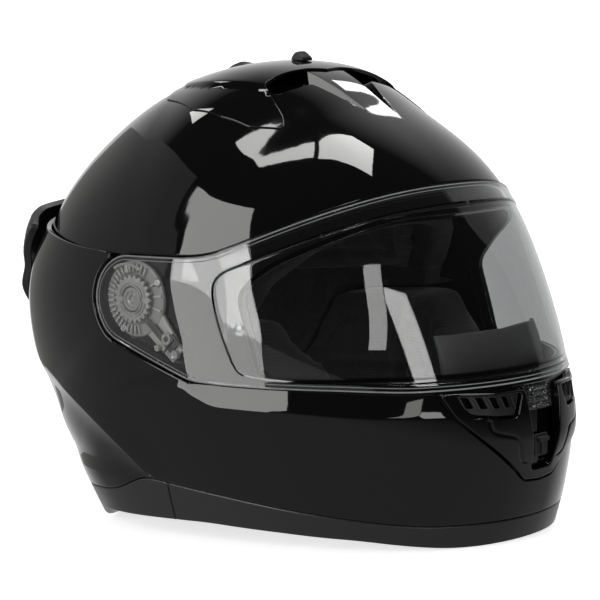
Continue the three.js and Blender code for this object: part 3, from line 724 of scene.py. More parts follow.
def see_through(name, tint, density, haze=0.01):
    """Clear or smoked polycarbonate that lets light through to what is behind it."""
    material, tree, output = shader(name)
    wipe = spread(tree, noise(tree, 40.0, 6.0), haze * 0.3, haze * 1.6)
    glass = add_node(tree, "ShaderNodeBsdfGlass", Color=(*tint, 1), IOR=1.5, Roughness=wipe)
    clear = add_node(tree, "ShaderNodeBsdfTransparent", Color=(*scaled(tint, density), 1))
    path = add_node(tree, "ShaderNodeLightPath")
    light = arithmetic(tree, "MAXIMUM", path.outputs["Is Shadow Ray"], path.outputs["Is Diffuse Ray"])
    surfaced(tree, output, mixed(tree, light, glass, clear))
    return material


def painted_edge_highlight(name):
    """Painted highlight for clear plastic seen along its edge: an emission makes it glow a little though it
    is no lamp, standing in for light gathered along the edge.
    """
    material, tree, output = shader(name)
    highlight_streaks = noise(tree, 90.0, 4.0)
    glow = blended(tree, highlight_streaks, (0.50, 0.51, 0.52), (0.82, 0.83, 0.84))
    # Painted highlight: a pale base colour plus emission, so the edge glows though it is no lamp.
    painted_highlight = add_node(tree, "ShaderNodeBsdfPrincipled", Roughness=0.12, Base_Color=glow, Emission_Color=glow,
                      Emission_Strength=0.3)
    clear = add_node(tree, "ShaderNodeBsdfTransparent")
    # Painted highlight in streaks: where the noise is high the glowing edge shows, elsewhere it is clear.
    surfaced(tree, output, mixed(tree, spread(tree, highlight_streaks, 0.45, 0.85), clear, painted_highlight))
    return material


def steel(name, colour=(0.55, 0.55, 0.53)):
    """Plated steel with fine turning marks."""
    material, tree, output = shader(name)
    marks = noise(tree, 900.0, 3.0)
    tone = blended(tree, marks, scaled(colour, 0.8), colour)
    surfaced(tree, output, add_node(tree, "ShaderNodeBsdfPrincipled", Metallic=1.0, Base_Color=tone,
                                    Roughness=spread(tree, marks, 0.22, 0.42),
                                    Normal=bumped(tree, marks, 0.15, 0.0001)))
    return material


def beads(name, colour):
    """Expanded polystyrene: packed beads a few millimetres across."""
    material, tree, output = shader(name)
    cells = add_node(tree, "ShaderNodeTexVoronoi", Scale=330.0, Vector=on_object(tree)).outputs["Distance"]
    height = spread(tree, cells, 1.0, 0.0, 0.0, 0.9)
    tone = blended(tree, cells, scaled(colour, 1.3), scaled(colour, 0.6))
    surfaced(tree, output, add_node(tree, "ShaderNodeBsdfPrincipled", Roughness=0.75, Base_Color=tone,
                                    Normal=bumped(tree, height, 0.6, 0.0008)))
    return material


def woven(name, colour, thread, strength=0.5, sheen=0.4, fuzz=0.3):
    """Woven or knitted cloth: crossing threads of the given width in millimetres, with sheen and lint."""
    material, tree, output = shader(name)
    turn = add_node(tree, "ShaderNodeMapping", Vector=on_object(tree), Rotation=(0, 0, 0.78))
    waves = []
    for axis in "XYZ":
        wave = add_node(tree, "ShaderNodeTexWave", p_bands_direction=axis, Scale=500.0 / thread / 3.1416,
                        Distortion=0.6, Detail=1.0, Vector=turn.outputs["Vector"])
        waves.append(wave.outputs["Fac"])
    crossed = arithmetic(tree, "ADD", arithmetic(tree, "MULTIPLY", waves[0], waves[1]), waves[2])
    weave = spread(tree, crossed, 0.0, 1.0, 0.0, 1.6)
    tone = blended(tree, weave, scaled(colour, 0.55), scaled(colour, 1.35))
    lint = spread(tree, noise(tree, 120.0, 6.0), 0.0, fuzz, 0.4, 0.8)
    surfaced(tree, output, add_node(tree, "ShaderNodeBsdfPrincipled", Roughness=0.9, Sheen_Weight=sheen,
                                    Base_Color=blended(tree, lint, tone, scaled(colour, 2.2)),
                                    Normal=bumped(tree, weave, strength, 0.0003)))
    return material


GLOSS = lacquer("black_lacquer")
SATIN = plastic("satin_black", (0.018, 0.0185, 0.0195), 0.34, grain=0.10, grain_size=0.3, wear=0.2)
MATTE = plastic("matte_black", (0.016, 0.016, 0.017), 0.55, grain=0.25, grain_size=0.35, wear=0.25)
CLEAR = see_through("clear_polycarbonate", (0.985, 0.99, 0.992), 0.96)
SMOKE = see_through("smoked_polycarbonate", (0.20, 0.21, 0.23), 0.9)
ACETAL = plastic("grey_acetal", (0.24, 0.24, 0.23), 0.22, grain=0.1, mottle=0.15, wear=0.3)
RUBBER = plastic("black_rubber", (0.012, 0.012, 0.012), 0.62, grain=0.3, grain_size=0.25)
STEEL = steel("plated_steel")
FOAM = beads("black_bead_foam", (0.007, 0.007, 0.0075))
CLOTH = woven("brushed_knit", (0.011, 0.011, 0.012), 0.9, sheen=0.15)
WEBBING = woven("polyester_webbing", (0.012, 0.012, 0.012), 1.1, strength=0.8, sheen=0.2)
# Painted edge highlight: the glowing material for the lines along the visor's edge.
PAINTED_EDGE_GLOW = painted_edge_highlight("painted_edge_highlight")
RED = plastic("red_plastic", (0.42, 0.012, 0.012), 0.35, grain=0.15)
THREAD = woven("red_thread", (0.30, 0.012, 0.014), 0.5, strength=0.6)

# ---- Outlines on the side, in (u, v) ----
FAR = 260
VISOR_ARC = 23.5
VISOR_TOP = [(-FAR, 60), (-150, 60), (-133, 56), (-98, 41), (-68, 28.5), (-48, 22.5)]
VISOR_BOTTOM = [(-40, -41), (-60, -42.5), (-122, -44.5), (-150, -46.5), (-FAR, -46.5)]
LEDGE = [(-37, -45), (-43, -48), (-52, -52.5), (-88, -54.5), (-130, -58), (-FAR, -64)]
REAR_STEP = [(FAR, 44), (120, 39), (91, 34), (42, 27), (14, 25)]
EYEPORT = [(-FAR, 44), (-133, 40), (-115, 31), (-92, 20), (-80, 12), (-72, 3), (-84, -39), (-FAR, -41)]
TRIM_LINE = [
    (FAR, -112), (90, -109), (42, -106), (26, -105), (6, -97), (-2, -95.5), (-15, -97), (-53, -102),
    (-103, -109.5), (-150, -117), (-FAR, -121),
]
TRIM_SEAM = -15
EDGE_LINE = [
    (FAR, -130.5), (66, -130.5), (51, -121), (41, -119.5), (-37, -118.5), (-83, -121), (-122, -124),
    (-158, -130.5), (-FAR, -130.5),
]
FLANK = [(98, -38.5), (95, -39.5), (59, -51.5), (33, -65.5), (9, -82.5), (-3, -93.5)]
STEP_ARC = VISOR_ARC + 2

# ---- Outlines on the front, in (x, v) ----
CHIN = [(0, -98), (13, -97), (20, -90), (43, -70), (53, -60), (59.5, -46)]
GRILLE = [(17, -49.5), (52, -49.5), (46, -60), (22, -61.5)]
RECESS_TOP, RECESS_BOTTOM, RECESS_FLOOR = 14.5, 9, -92


def moved(points, du=0.0, dv=0.0):
    """Points moved along u and v."""
    return [(u + du, v + dv) for u, v in points]


def visor_outline(margin, radius=5):
    """The visor's side outline, grown by a margin, from the middle plane round the pivot and back."""
    top = moved(VISOR_TOP, dv=margin)
    rear = arc(0, 0, VISOR_ARC + margin, 88, -68, 24)
    bottom = moved(VISOR_BOTTOM, dv=-margin)
    return np.concatenate([rounded([*top, rear[0]], 14), rear[1:-1], rounded([rear[-1], *bottom], radius)])


# ---- Shell ----
def dome_offset(q):
    """The dome drops towards its sides and dips into the crown hollows."""
    a = wrapped(polar(q)[1])
    return -SIDE_DROP * ramp(lean(q), 0.35, 0.75) - crown_hollow(q, a)


RIDGE_LINE = plan_line([(10, -84), (12.5, -60), (15, -40), (15, 40)])
RIDGE_FOOT = plan_line([(10.5, -84), (16.5, -60), (20, -40), (20, 40)])
HOLLOW_LINE = plan_line([(62, 20), (58, -8), (56, -40), (50, -52), (38, -54.5), (25.5, -55), (11.5, -81)])


def crown_hollow(q, a):
    """The depth of the two hollows on either side of the crown's ridge, where the air goes in."""
    behind = signed_gap(q, HOLLOW_LINE)
    flank = -signed_gap(q, RIDGE_LINE)
    depth = np.clip(-behind * 0.75, 0, CROWN_DROP)
    wall = np.clip(flank * 1.6, 0, 1e3)
    over = (a > 20) & (a < 130)
    return np.where(over, np.minimum(depth, wall), 0) * fall(a, 86, 99)


def wall_depth(q):
    """How deep the shell's border walls are. They are deeper at the pivots."""
    return 3.2 + 7.5 * near_pivot(q)


def ledge_mask(q):
    """1 in front of the ledge, 0 behind it."""
    return ramp(-surface(q, 0)[:, 1] + PIVOT_Y, 33, 42)


LEDGE_LINE = side_line(rounded(LEDGE, 6))
FLANK_LINE = side_line(rounded(FLANK, 14))


def tuck(p):
    """How far the lowest part curves in under the shell's widest line."""
    depth = PIVOT_Z - 92 - p[:, 2]
    return 0.015 * (depth + np.sqrt(depth**2 + 9))


def lower_offset(q):
    """The lower shell stands out. It bevels in up to the visor and falls away behind the flank's crease."""
    above = signed_gap(q, LEDGE_LINE)
    in_front = surface(q, 0)[:, 1] < PIVOT_Y - 30
    height = np.where(in_front, -above, 0)
    height = 0.5 * (height + np.sqrt(height**2 + 0.35))
    bevel = 0.42 * height * ledge_mask(q)
    behind = signed_gap(q, FLANK_LINE)
    p = surface(q, 0)
    span = ramp(PIVOT_Z - p[:, 2], 34, 52) * fall(PIVOT_Z - p[:, 2], 88, 100)
    rear = np.clip(behind, 0, None)
    crest = 0.9 * np.exp(-((behind / 9) ** 2))
    return RAISED - bevel - tuck(p) + span * (crest - 2.6 * (1 - np.exp(-rear / 7)))


def outer_shell():
    """The painted shell: dome, seat under the visor and raised lower part."""
    dome_rim = side_line(np.concatenate([
        rounded([*moved(VISOR_TOP, dv=1.3), arc(0, 0, VISOR_ARC + 1.3, 88, 88, 1)[0]], 14),
        arc(0, 0, VISOR_ARC + 1.3, 86, 45, 10),
        [(24, 21), (42, 23), (91, 30), (120, 35), (FAR, 40)],
    ]))
    dome = half_panel([dome_rim], dome_offset, wall_depth, edge=1.1, spacing=3.6, lining=False,
                      creases=[RIDGE_LINE, RIDGE_FOOT, HOLLOW_LINE])
    chin_edge = front_line(rounded([(60.3, -47.6), (53.6, -60.3), (43.6, -70.4), (20.6, -90.5), (13.4, -97.7),
                                    (0, -98.7)], 4))
    side_part = side_line(np.concatenate([
        rounded([*REAR_STEP, arc(0, 0, STEP_ARC, 62, 62, 1)[0]], 10),
        arc(0, 0, STEP_ARC, 60, -66, 26),
        rounded(moved(VISOR_BOTTOM, dv=-1.3), 5),
    ]))
    across = surface(side_part, 0)[:, 0]
    keep = np.argmax((across < 60.4) & (np.arange(len(across)) > len(across) // 2))
    upper_rim = joined(side_part[:keep], chin_edge)
    lower_rim = side_line(rounded(moved(TRIM_LINE, dv=0.2), 8))[::-1]
    lower = half_panel([upper_rim, lower_rim], lower_offset, wall_depth, edge=0.9, spacing=3.6, lining=False,
                       creases=[LEDGE_LINE, FLANK_LINE])
    seat_offset = lambda q: -SEAT_DEPTH - POCKET_DEPTH * near_pivot(q)
    seat = half_panel(
        [side_line(visor_outline(1.8)), side_line(rounded(EYEPORT, 5))[::-1]],
        seat_offset, 3.0, edge=0.5, spacing=3.6)
    chin_seat = half_panel(
        [front_line([(0, -100), (14, -99), (22, -91), (45, -71), (55, -60), (62, -46.5), (0, -46.5)])],
        -2.2, 3.0, edge=0.5, spacing=4, lining=False)
    sheets = [whole(part) for part in (dome, lower, seat, chin_seat)]
    return mesh_object("outer_shell_painted", sheets, GLOSS, "shell", "outer_shell")


def trim(name, node, points):
    """A satin edge trim inside a closed line."""
    rim = side_line(points)
    outside = lambda q: RAISED - 0.2 - tuck(surface(q, 0))
    panel = half_panel([rim], outside, SHELL_INSIDE + RAISED - 0.4, edge=0.9, under=0.6, spacing=3.6)
    return mesh_object(name, [whole(panel)], SATIN, "shell", node)


def lower_trims():
    """The front and rear trims, which meet at a seam."""
    top = rounded(moved(TRIM_LINE, dv=-0.2), 8)
    edge = rounded(EDGE_LINE, 8)
    seam = TRIM_SEAM
    height_at = lambda line, u: float(np.interp(u, line[::-1, 0], line[::-1, 1]))
    front = [(seam - 0.2, height_at(top, seam)), *[p for p in top if p[0] < seam - 1]]
    low = [*[p for p in edge[::-1] if p[0] < seam - 1], (seam - 0.2, height_at(edge, seam))]
    trim("lower_trim_front_moulded", "lower_trim_front", np.array([*front[::-1], *low[::-1]]))
    back = [*[p for p in top if p[0] > seam + 1], (seam + 0.2, height_at(top, seam))]
    under = [(seam + 0.2, height_at(edge, seam)), *[p for p in edge[::-1] if p[0] > seam + 1]]
    trim("lower_trim_rear_moulded", "lower_trim_rear", np.array([*back, *under]))


# ---- Visor ----
LENS_TOP = [(-FAR, 47), (-150, 47), (-133, 43.5), (-98, 29.5), (-74, 20), (-60, 15)]
LENS_SIDE = [(-55, 8), (-58, -8), (-66, -30), (-70, -37), (-84, -39.2), (-122, -40.2), (-150, -42),
             (-FAR, -42)]
LENS_LINE = side_line(rounded([*LENS_TOP, *LENS_SIDE], 7))


def visor_offset(q):
    """The lens stands a little proud of the flange round it."""
    inside = signed_gap(q, LENS_LINE)
    return VISOR_OUTSIDE - 0.45 + 0.55 * ramp(inside, -0.6, 0.6)


def visor_shield():
    """The clear shield, creased along the edge of its raised lens."""
    panel = half_panel([side_line(visor_outline(0))], visor_offset, VISOR_THICKNESS, edge=0.55, under=0.4,
                       spacing=3.2, creases=[LENS_LINE], gaps=(-1.2, -0.6, -0.3, 0, 0.3, 0.6, 1.2))
    return mesh_object("visor_shield", [whole(panel)], CLEAR, "visor", "visor")


# ---- Chin ----
def chin_offset(q):
    """The chin piece stands out in a snout and has a groove round its inset."""
    a = wrapped(polar(q)[1])
    a = np.where(a > 180, a - 360, a)
    snout = 4.6 * ramp(a, -29, -22) * fall(lean(q), 0.16, 0.30)
    groove = 0.7 * np.exp(-((signed_gap(q, INSET_LINE) / 0.55) ** 2))
    return RAISED + 0.2 + snout - groove


INSET = [(38, -61.5), (37, -67.5), (22.5, -71.5), (18, -85.5), (14.5, -86.5)]
INSET_LINE = front_line(rounded(INSET, 2.5), 1.2)


def chin_vent_housing():
    """The V-shaped chin piece, with a hole for each grille."""
    outline = front_line(rounded([*CHIN[:-1], (58.7, -48), (RECESS_TOP, -48), (RECESS_BOTTOM, RECESS_FLOOR),
                                  (0, RECESS_FLOOR)], 2.2), 1.4)
    panel = half_panel([outline], chin_offset, 5.0, edge=0.8, spacing=2.4, creases=[INSET_LINE],
                       gaps=(-1.3, -0.8, -0.4, 0, 0.4, 0.8, 1.3), holes=[looped(GRILLE, 2, 1.2)])
    return mesh_object("chin_vent_housing_painted", [whole(panel)], GLOSS, "shell", "chin_vent_housing")


LOUVRE_STEP = 6.4
CHIN_TOP = front_line([(0, -48), (60, -48)])


def looped(points, radius, step):
    """A closed line on the front, ending where it starts."""
    line = front_line(rounded(points, radius, closed=True), step)
    return np.vstack([line, line[:1]])


def louvre(i):
    """One slanted slot of a chin inlet, in (x, v)."""
    x = 25.5 + i * LOUVRE_STEP
    return [(x + 0.9, -51), (x + 4.6, -51), (x + 2.6, -56.4), (x - 1.1, -56.4)]


def chin_vent_grille(name, side):
    """A sunk plate with slanted slots, and a fin beside each slot."""
    outline = looped([(17.6, -50), (51.2, -50), (45.6, -59.5), (22.4, -61)], 1.5, 1.2)
    slots = [looped(louvre(i), 0.6, 0.8) for i in range(4)]
    floor_of = lambda q: chin_offset(q) - 2.2 - 0.09 * np.clip(signed_gap(q, CHIN_TOP), 0, 20)
    fin_top = lambda q: floor_of(q) + 1.5
    plate = half_panel([outline], floor_of, 1.6, edge=0.3, under=0.2, spacing=2.0, closed=True, steps=2,
                       holes=slots)
    fins = []
    for i in range(5):
        x = 22.6 + i * LOUVRE_STEP
        fin = looped([(x + 1.4, -50.6), (x + 2.5, -50.6), (x + 0.2, -57.2), (x - 0.9, -57.2)], 0.4, 0.8)
        fins.append(half_panel([fin], fin_top, 1.8, edge=0.3, under=0.2, spacing=2, closed=True, steps=2))
    sheets = [plate, *fins]
    if side < 0:
        sheets = [reflected(sheet) for sheet in sheets]
    return mesh_object(f"chin_vent_grille_{name}_louvres", sheets, MATTE, "shell", f"chin_vent_grille_{name}")


def visor_lock_tab():
    """The ribbed finger tab below the visor's lower edge."""
    outline = front_line(rounded([(0, -47.3), (12.8, -47.3), (9.5, -61), (0, -61)], 1.6), 0.9)
    ribs = front_line([(0, -47.3), (14, -47.3)])

    def ribbed(q):
        down = np.abs(signed_gap(q, ribs))
        wave = ramp(np.cos(down * 2 * math.pi / 2.9), -0.2, 0.7)
        inner = ramp(down, 2.0, 2.6) * fall(down, 12.0, 12.8) * fall(surface(q, 0)[:, 0], 7.6, 8.4)
        return 2.7 + 0.6 * inner * wave

    panel = half_panel([outline], ribbed, 1.7, edge=0.5, under=0.3, spacing=0.8, steps=3)
    return mesh_object("visor_lock_tab_ribbed", [whole(panel)], CLEAR, "visor", "visor_lock_tab")


def chin_vent_slider():
    """A plate, a grip across it and a rib down its middle."""
    plate = {"outside": 1.9, "thickness": 1.2, "edge": 0.4, "spacing": 1.6}
    grip = {"outside": 4.2, "thickness": 2.6, "edge": 0.4, "spacing": 1.2}
    rib = {"outside": 3.0, "thickness": 1.4, "edge": 0.35, "spacing": 1.0}
    parts = []
    for shape, x, top, low, corner, step in ((plate, 5.8, -74.2, -85.8, 1.2, 1.0),
                                             (grip, 4.4, -74.9, -77.3, 0.6, 0.8),
                                             (rib, 1.1, -77.6, -84.6, 0.5, 0.8)):
        outline = front_line(rounded([(0, top), (x, top), (x, low), (0, low)], corner), step)
        parts.append(whole(half_panel([outline], under=0.2, **shape)))
    return mesh_object("chin_vent_slider_grip", parts, MATTE, "chin_vent_slider", "chin_vent_slider")


# ---- Crown fairing, in (x, u) ----
FAIRING_BASE = [(0, 34), (36, 31), (57, 24), (76, -12), (78, -33), (75, -53), (65, -68)]
FAIRING_CREST = [(0, 29), (32, 27), (47, 18), (56, -8), (57, -25), (52, -48)]
FAIRING_FRONT = [(60, -64), (51, -43), (30, -42.3), (14, -42.5), (0, -45)]
CREST_LINE = plan_line(rounded(FAIRING_CREST, 8))
WALL_SLOPE = 0.46
FLANGE = 0.8


def fairing_offset(q):
    """The roof rises a little to its crest, and a wall slopes from there to a thin flange on the dome."""
    outward = signed_gap(q, CREST_LINE)
    roof = 1.2 + 1.0 * ramp(lean(q), 0.1, 0.38)
    wall = roof - 0.5 * WALL_SLOPE * (outward + np.sqrt(outward**2 + 1.4))
    flange = FLANGE - SIDE_DROP * ramp(lean(q), 0.35, 0.75)
    return np.maximum(wall, flange)


def top_vent_fairing():
    """The scoop on the crown, with deeper walls at its front corners."""
    outline = plan_line(rounded([*FAIRING_BASE, *FAIRING_FRONT], 2.5), 1.5)

    def depth(q):
        p = surface(q, 0)
        return 2.2 + 3.0 * ramp(p[:, 0], 45, 52) * fall(p[:, 1] - PIVOT_Y, -44, -36)

    panel = half_panel([outline], fairing_offset, depth, edge=0.45, under=0.3, spacing=2.2,
                       creases=[CREST_LINE])
    return mesh_object("top_vent_fairing_moulded", [whole(panel)], GLOSS, "shell", "top_vent_fairing")


# ---- Spoiler, on the back in (x, v) ----
SPOILER = [(0, 45), (60, 41), (80, 33), (62, 0), (50, -24), (0, -26)]
SPOILER_SLOT = [(12, 15), (46, 12.5), (42, 7.5), (14, 9.5)]


def spoiler_offset(q):
    """Flush at its top, then a lip, a hollow with two slots and a tail that fades into the shell."""
    a = wrapped(polar(q)[1])
    middle = fall(lean(q), 0.5, 0.72)
    lip = 2.5 * fall(a, 163, 172)
    tail = 8.2 * fall(a, 180, 192) * middle
    hollow = 2.4 * np.exp(-(((a - 175.5) / 3.6) ** 2)) * middle
    return 1.9 + tail + lip - hollow


def rear_spoiler():
    """The exhaust cover, with a slot on each side."""
    slot = back_line(rounded(SPOILER_SLOT, 1.6, closed=True), 1.2)
    panel = half_panel([back_line(rounded(SPOILER, 6))], spoiler_offset, 4.5, edge=1.2, spacing=3.0,
                       holes=[np.vstack([slot, slot[:1]])])
    return mesh_object("rear_spoiler_moulded", [whole(panel)], SATIN, "shell", "rear_spoiler")


# ---- Swept and turned shapes ----
def whole_pair(sheet):
    """A closed sheet and its mirror image."""
    return merged([sheet, reflected(sheet)])


def swept(path, upward, outline, closed=False):
    """An outline in (across, upward) carried along a path of points, as a sheet."""
    count = len(path)
    if closed:
        along = np.roll(path, -1, 0) - np.roll(path, 1, 0)
    else:
        along = np.gradient(path, axis=0)
    across = np.cross(along, upward)
    across /= np.linalg.norm(across, axis=1)[:, None]
    up = np.cross(across, along)
    up /= np.linalg.norm(up, axis=1)[:, None]
    shape = np.array(outline, float)
    turn = np.roll(shape, -1, 0) - np.roll(shape, 1, 0)
    face = np.stack([turn[:, 1], -turn[:, 0]], 1)
    face /= np.linalg.norm(face, axis=1)[:, None]
    carried = lambda at: across[:, None] * at[None, :, :1] + up[:, None] * at[None, :, 1:]
    points = (path[:, None] + carried(shape)).reshape(-1, 3)
    normal = carried(face).reshape(-1, 3)
    m = len(shape)
    faces = []
    for i in range(count if closed else count - 1):
        j = (i + 1) % count
        for k in range(m):
            n = (k + 1) % m
            faces.append((i * m + k, i * m + n, j * m + n, j * m + k))
    if not closed:
        faces.append(tuple(range(m))[::-1])
        faces.append(tuple((count - 1) * m + k for k in range(m)))
    return points, normal, faces


def ring_of(radius_a, radius_b, count=10):
    """An ellipse outline, anticlockwise."""
    angles = np.linspace(0, 2 * math.pi, count, False)
    return [(radius_a * math.cos(a), radius_b * math.sin(a)) for a in angles]


def painted_visor_rim_highlight():
    """Painted highlights along the visor's edge: a fine glowing line at each corner of its bevel, standing in
    for light caught by the polished edge.
    """
    sheets = []
    for inset, radius in ((0.3, 0.36), (2.3, 0.2)):
        line = side_line(visor_outline(-inset))
        path = surface(line, VISOR_OUTSIDE + 0.1)
        # Each painted highlight line is a thin tube swept along the edge in the glowing edge material.
        sheets.append(whole_pair(swept(path, normals(line, 0), ring_of(radius, radius * 0.8, 8))))
    return mesh_object("visor_rim_painted_highlight", sheets, PAINTED_EDGE_GLOW, "visor")


def eyeport_gasket():
    """A rubber bead round the eye opening, with its base strip."""
    line = side_line(rounded(EYEPORT, 5))
    path = surface(line, -SEAT_DEPTH - 0.9)
    face = normals(line, 0)
    face[[0, -1], 0] = 0
    along = np.gradient(path, axis=0)
    across = np.cross(along, face)
    across /= np.linalg.norm(across, axis=1)[:, None]
    inner = path - across * 1.6
    inner[[0, -1], 0] = 0
    bead = swept(inner, face, ring_of(1.5, 1.7, 12))
    strip = swept(inner - face * 3.4, face, ring_of(0.9, 3.6, 10))
    sheets = [whole((points, normal, faces[:-2])) for points, normal, faces in (bead, strip)]
    return mesh_object("eyeport_gasket_bead", sheets, RUBBER, "shell", "eyeport_gasket")


def turned(profile_points, centre, segments=48, axis=(1, 0, 0)):
    """A bmesh of a profile (radius, height) turned about an axis."""
    made = bmesh.new()
    frame_matrix = Vector(axis).to_track_quat("Z", "Y").to_matrix()
    rings = []
    for radius, height in profile_points:
        ring = []
        for i in range(segments):
            a = 2 * math.pi * i / segments
            spot = frame_matrix @ Vector((radius * math.cos(a), radius * math.sin(a), height))
            ring.append(made.verts.new((Vector(centre) + spot) * MM))
        rings.append(ring)
    for a, b in zip(rings, rings[1:]):
        for i in range(segments):
            j = (i + 1) % segments
            made.faces.new((a[i], a[j], b[j], b[i]))
    made.faces.new(rings[0][::-1])
    made.faces.new(rings[-1])
    return made


def prism(made, lower, upper):
    """Adds a prism between two rings of corner points to a bmesh."""
    lower = [made.verts.new(corner) for corner in lower]
    upper = [made.verts.new(corner) for corner in upper]
    made.faces.new(lower)
    made.faces.new(upper[::-1])
    for i in range(len(lower)):
        j = (i + 1) % len(lower)
        made.faces.new((lower[i], upper[i], upper[j], lower[j]))


def on_side(side, x, u, v):
    """A point on one side of the helmet, in metres."""
    return Vector((side * x, PIVOT_Y + u, PIVOT_Z + v)) * MM


def block(made, corners, low, high, side):
    """Adds a prism to a bmesh: corners in (u, v) from the pivot, between two |x| values on one side."""
    prism(made, *([on_side(side, x, u, v) for u, v in corners] for x in (low, high)))


def bevelled(made, angle, width, segments=2):
    """Bevels a bmesh's edges that are sharper than an angle."""
    limit = math.radians(angle)
    sharp = [e for e in made.edges if len(e.link_faces) == 2 and e.calc_face_angle(0) > limit]
    bmesh.ops.bevel(made, geom=sharp, offset=width * MM, segments=segments, profile=0.5, affect="EDGES",
                    clamp_overlap=True)


def shaded(piece, material, body, node_name, angle=40):
    """Gives a piece its look, its body and the node that it stands for. Edges over the angle stay sharp."""
    mesh = piece.data
    mesh.polygons.foreach_set("use_smooth", [True] * len(mesh.polygons))
    if angle:
        mesh.set_sharp_from_angle(angle=math.radians(angle))
    mesh.materials.clear()
    mesh.materials.append(material)
    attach(piece, body)
    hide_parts(node_name)
    return piece


def finished(made, name, material, body, node, bevel):
    """Bevels a bmesh's sharp edges and makes it an object that stands for a node."""
    bmesh.ops.recalc_face_normals(made, faces=made.faces[:])
    bevelled(made, 35, bevel)
    mesh = bpy.data.meshes.new(name)
    made.to_mesh(mesh)
    made.free()
    return shaded(linked(name, mesh), material, body, node)


# ---- Visor mechanism, on each side ----
PIVOT_FACE = HALF_WIDTH - SEAT_DEPTH - POCKET_DEPTH
BASE_FACE = PIVOT_FACE + 2.6


def add_turned(made, profile_points, side, u=0.0, v=0.0, segments=48):
    """Adds a turned shape to a bmesh: its profile in (radius, |x|), its axis at (u, v)."""
    other = turned(profile_points, (0, PIVOT_Y + u, PIVOT_Z + v), segments, (side, 0, 0))
    mesh = bpy.data.meshes.new("part")
    other.to_mesh(mesh)
    made.from_mesh(mesh)
    other.free()
    bpy.data.meshes.remove(mesh)


def spoke(angle, inner, outer, width):
    """Corners of a radial bar in (u, v)."""
    a = math.radians(angle)
    along, across = np.array([math.cos(a), math.sin(a)]), np.array([-math.sin(a), math.cos(a)])
    return [tuple(along * r + across * w) for r, w in
            ((inner, -width / 2), (outer, -width / 2), (outer, width / 2), (inner, width / 2))]


def visor_base(name, side):
    """The plate that carries the visor: a stepped disc, radial fingers and the arm to the release."""
    x0 = PIVOT_FACE + 0.4
    made = bmesh.new()
    face = BASE_FACE
    add_turned(made, [(20.3, x0), (20.5, face - 0.6), (19.9, face), (14, face), (13.6, face - 0.5),
                      (6.6, face - 0.5)], side, segments=72)
    add_turned(made, [(6.4, face - 0.6), (6.4, face + 2.6), (5.9, face + 3.0), (4.6, face + 3.0),
                      (4.3, face + 2.2), (2.3, face + 2.2), (2.1, face + 1.4)], side)
    for i in range(24):
        block(made, spoke(-100 + i * 9.6, 14.3, 18.9, 0.95), face - 0.1, face + 1.5, side)
    for i in range(4):
        block(made, spoke(150 + i * 24, 13.9, 19.6, 1.3), face - 0.1, face + 0.9, side)
    arm = [(-8, -19), (-25, -33), (-32, -26), (-19, -8)]
    block(made, arm, x0, face - 0.4, side)
    for u, v, radius in ((-22.5, -20.5, 3.4), (-27.8, -28.6, 2.6), (-15.5, -25.5, 1.8)):
        add_turned(made, [(radius, face - 0.6), (radius, face + 1.6), (radius - 0.7, face + 2.0),
                          (radius * 0.4, face + 1.5)], side, u, v, 28)
    return finished(made, f"visor_base_{name}_plate", ACETAL, "shell", f"visor_base_{name}", 0.18)


def visor_ratchet(name, side):
    """The toothed ring on the visor that turns round the base's boss."""
    made = bmesh.new()
    x0, x1 = BASE_FACE + 0.35, BASE_FACE + 2.55
    count = 22 * 4  # corners round the ring, four to a tooth
    rings = []
    for x in (x0, x1):
        outer, inner = [], []
        for i in range(count):
            a = 2 * math.pi * i / count
            r = 13 if i % 4 in (0, 1) else 11.5
            outer.append(made.verts.new(on_side(side, x, r * math.cos(a), r * math.sin(a))))
            inner.append(made.verts.new(on_side(side, x, 6.9 * math.cos(a), 6.9 * math.sin(a))))
        rings.append((outer, inner))
    (low_out, low_in), (high_out, high_in) = rings
    turn = [low_out, high_out, high_in, low_in, low_out]
    for i in range(count):
        j = (i + 1) % count
        for near, far in zip(turn, turn[1:]):
            made.faces.new((near[i], near[j], far[j], far[i]))
    for radius, height, wall in ((9.6, 0.9, 0.9), (7.9, 1.5, 0.8)):
        for i in range(4):
            middle = 45 + 90 * i
            out = arc(0, 0, radius, middle - 36, middle + 36, 12)
            back = arc(0, 0, radius - wall, middle + 36, middle - 36, 12)
            block(made, out + back, x1 - 0.1, x1 + height * 0.6, side)
    return finished(made, f"visor_ratchet_{name}_ring", ACETAL, "visor", f"visor_ratchet_{name}", 0.15)


def visor_detent(name, side):
    """The sprung leaf that clicks into the ratchet, held by a post."""
    made = bmesh.new()
    outer = arc(4, 0, 19.2, 122, 60, 14)
    inner = arc(4, 0, 17.6, 60, 122, 14)
    block(made, outer + inner, BASE_FACE + 0.35, BASE_FACE + 1.9, side)
    block(made, [(2.6, 13.9), (5.4, 13.9), (4.8, 17.8), (3.2, 17.8)], BASE_FACE + 0.35, BASE_FACE + 1.9, side)
    return finished(made, f"visor_detent_{name}_leaf", ACETAL, "shell", f"visor_detent_{name}", 0.15)


def visor_release(name, side):
    """The quick-release slide with a ribbed thumb pad."""
    made = bmesh.new()
    body = [(-8, -12), (-11, -9.5), (-21.5, -19), (-27, -17.5), (-32, -22), (-25, -27.5)]
    block(made, body, BASE_FACE + 0.3, BASE_FACE + 1.6, side)
    rib = [(-28.6, -20.6), (-27.9, -19.9), (-24.9, -22.9), (-25.6, -23.6)]
    for i in range(4):
        block(made, moved(rib, i * 1.5, -i * 1.5), BASE_FACE + 1.5, BASE_FACE + 2.3, side)
    node = f"visor_release_{name}"
    return finished(made, f"{node}_lever", MATTE, node, node, 0.15)


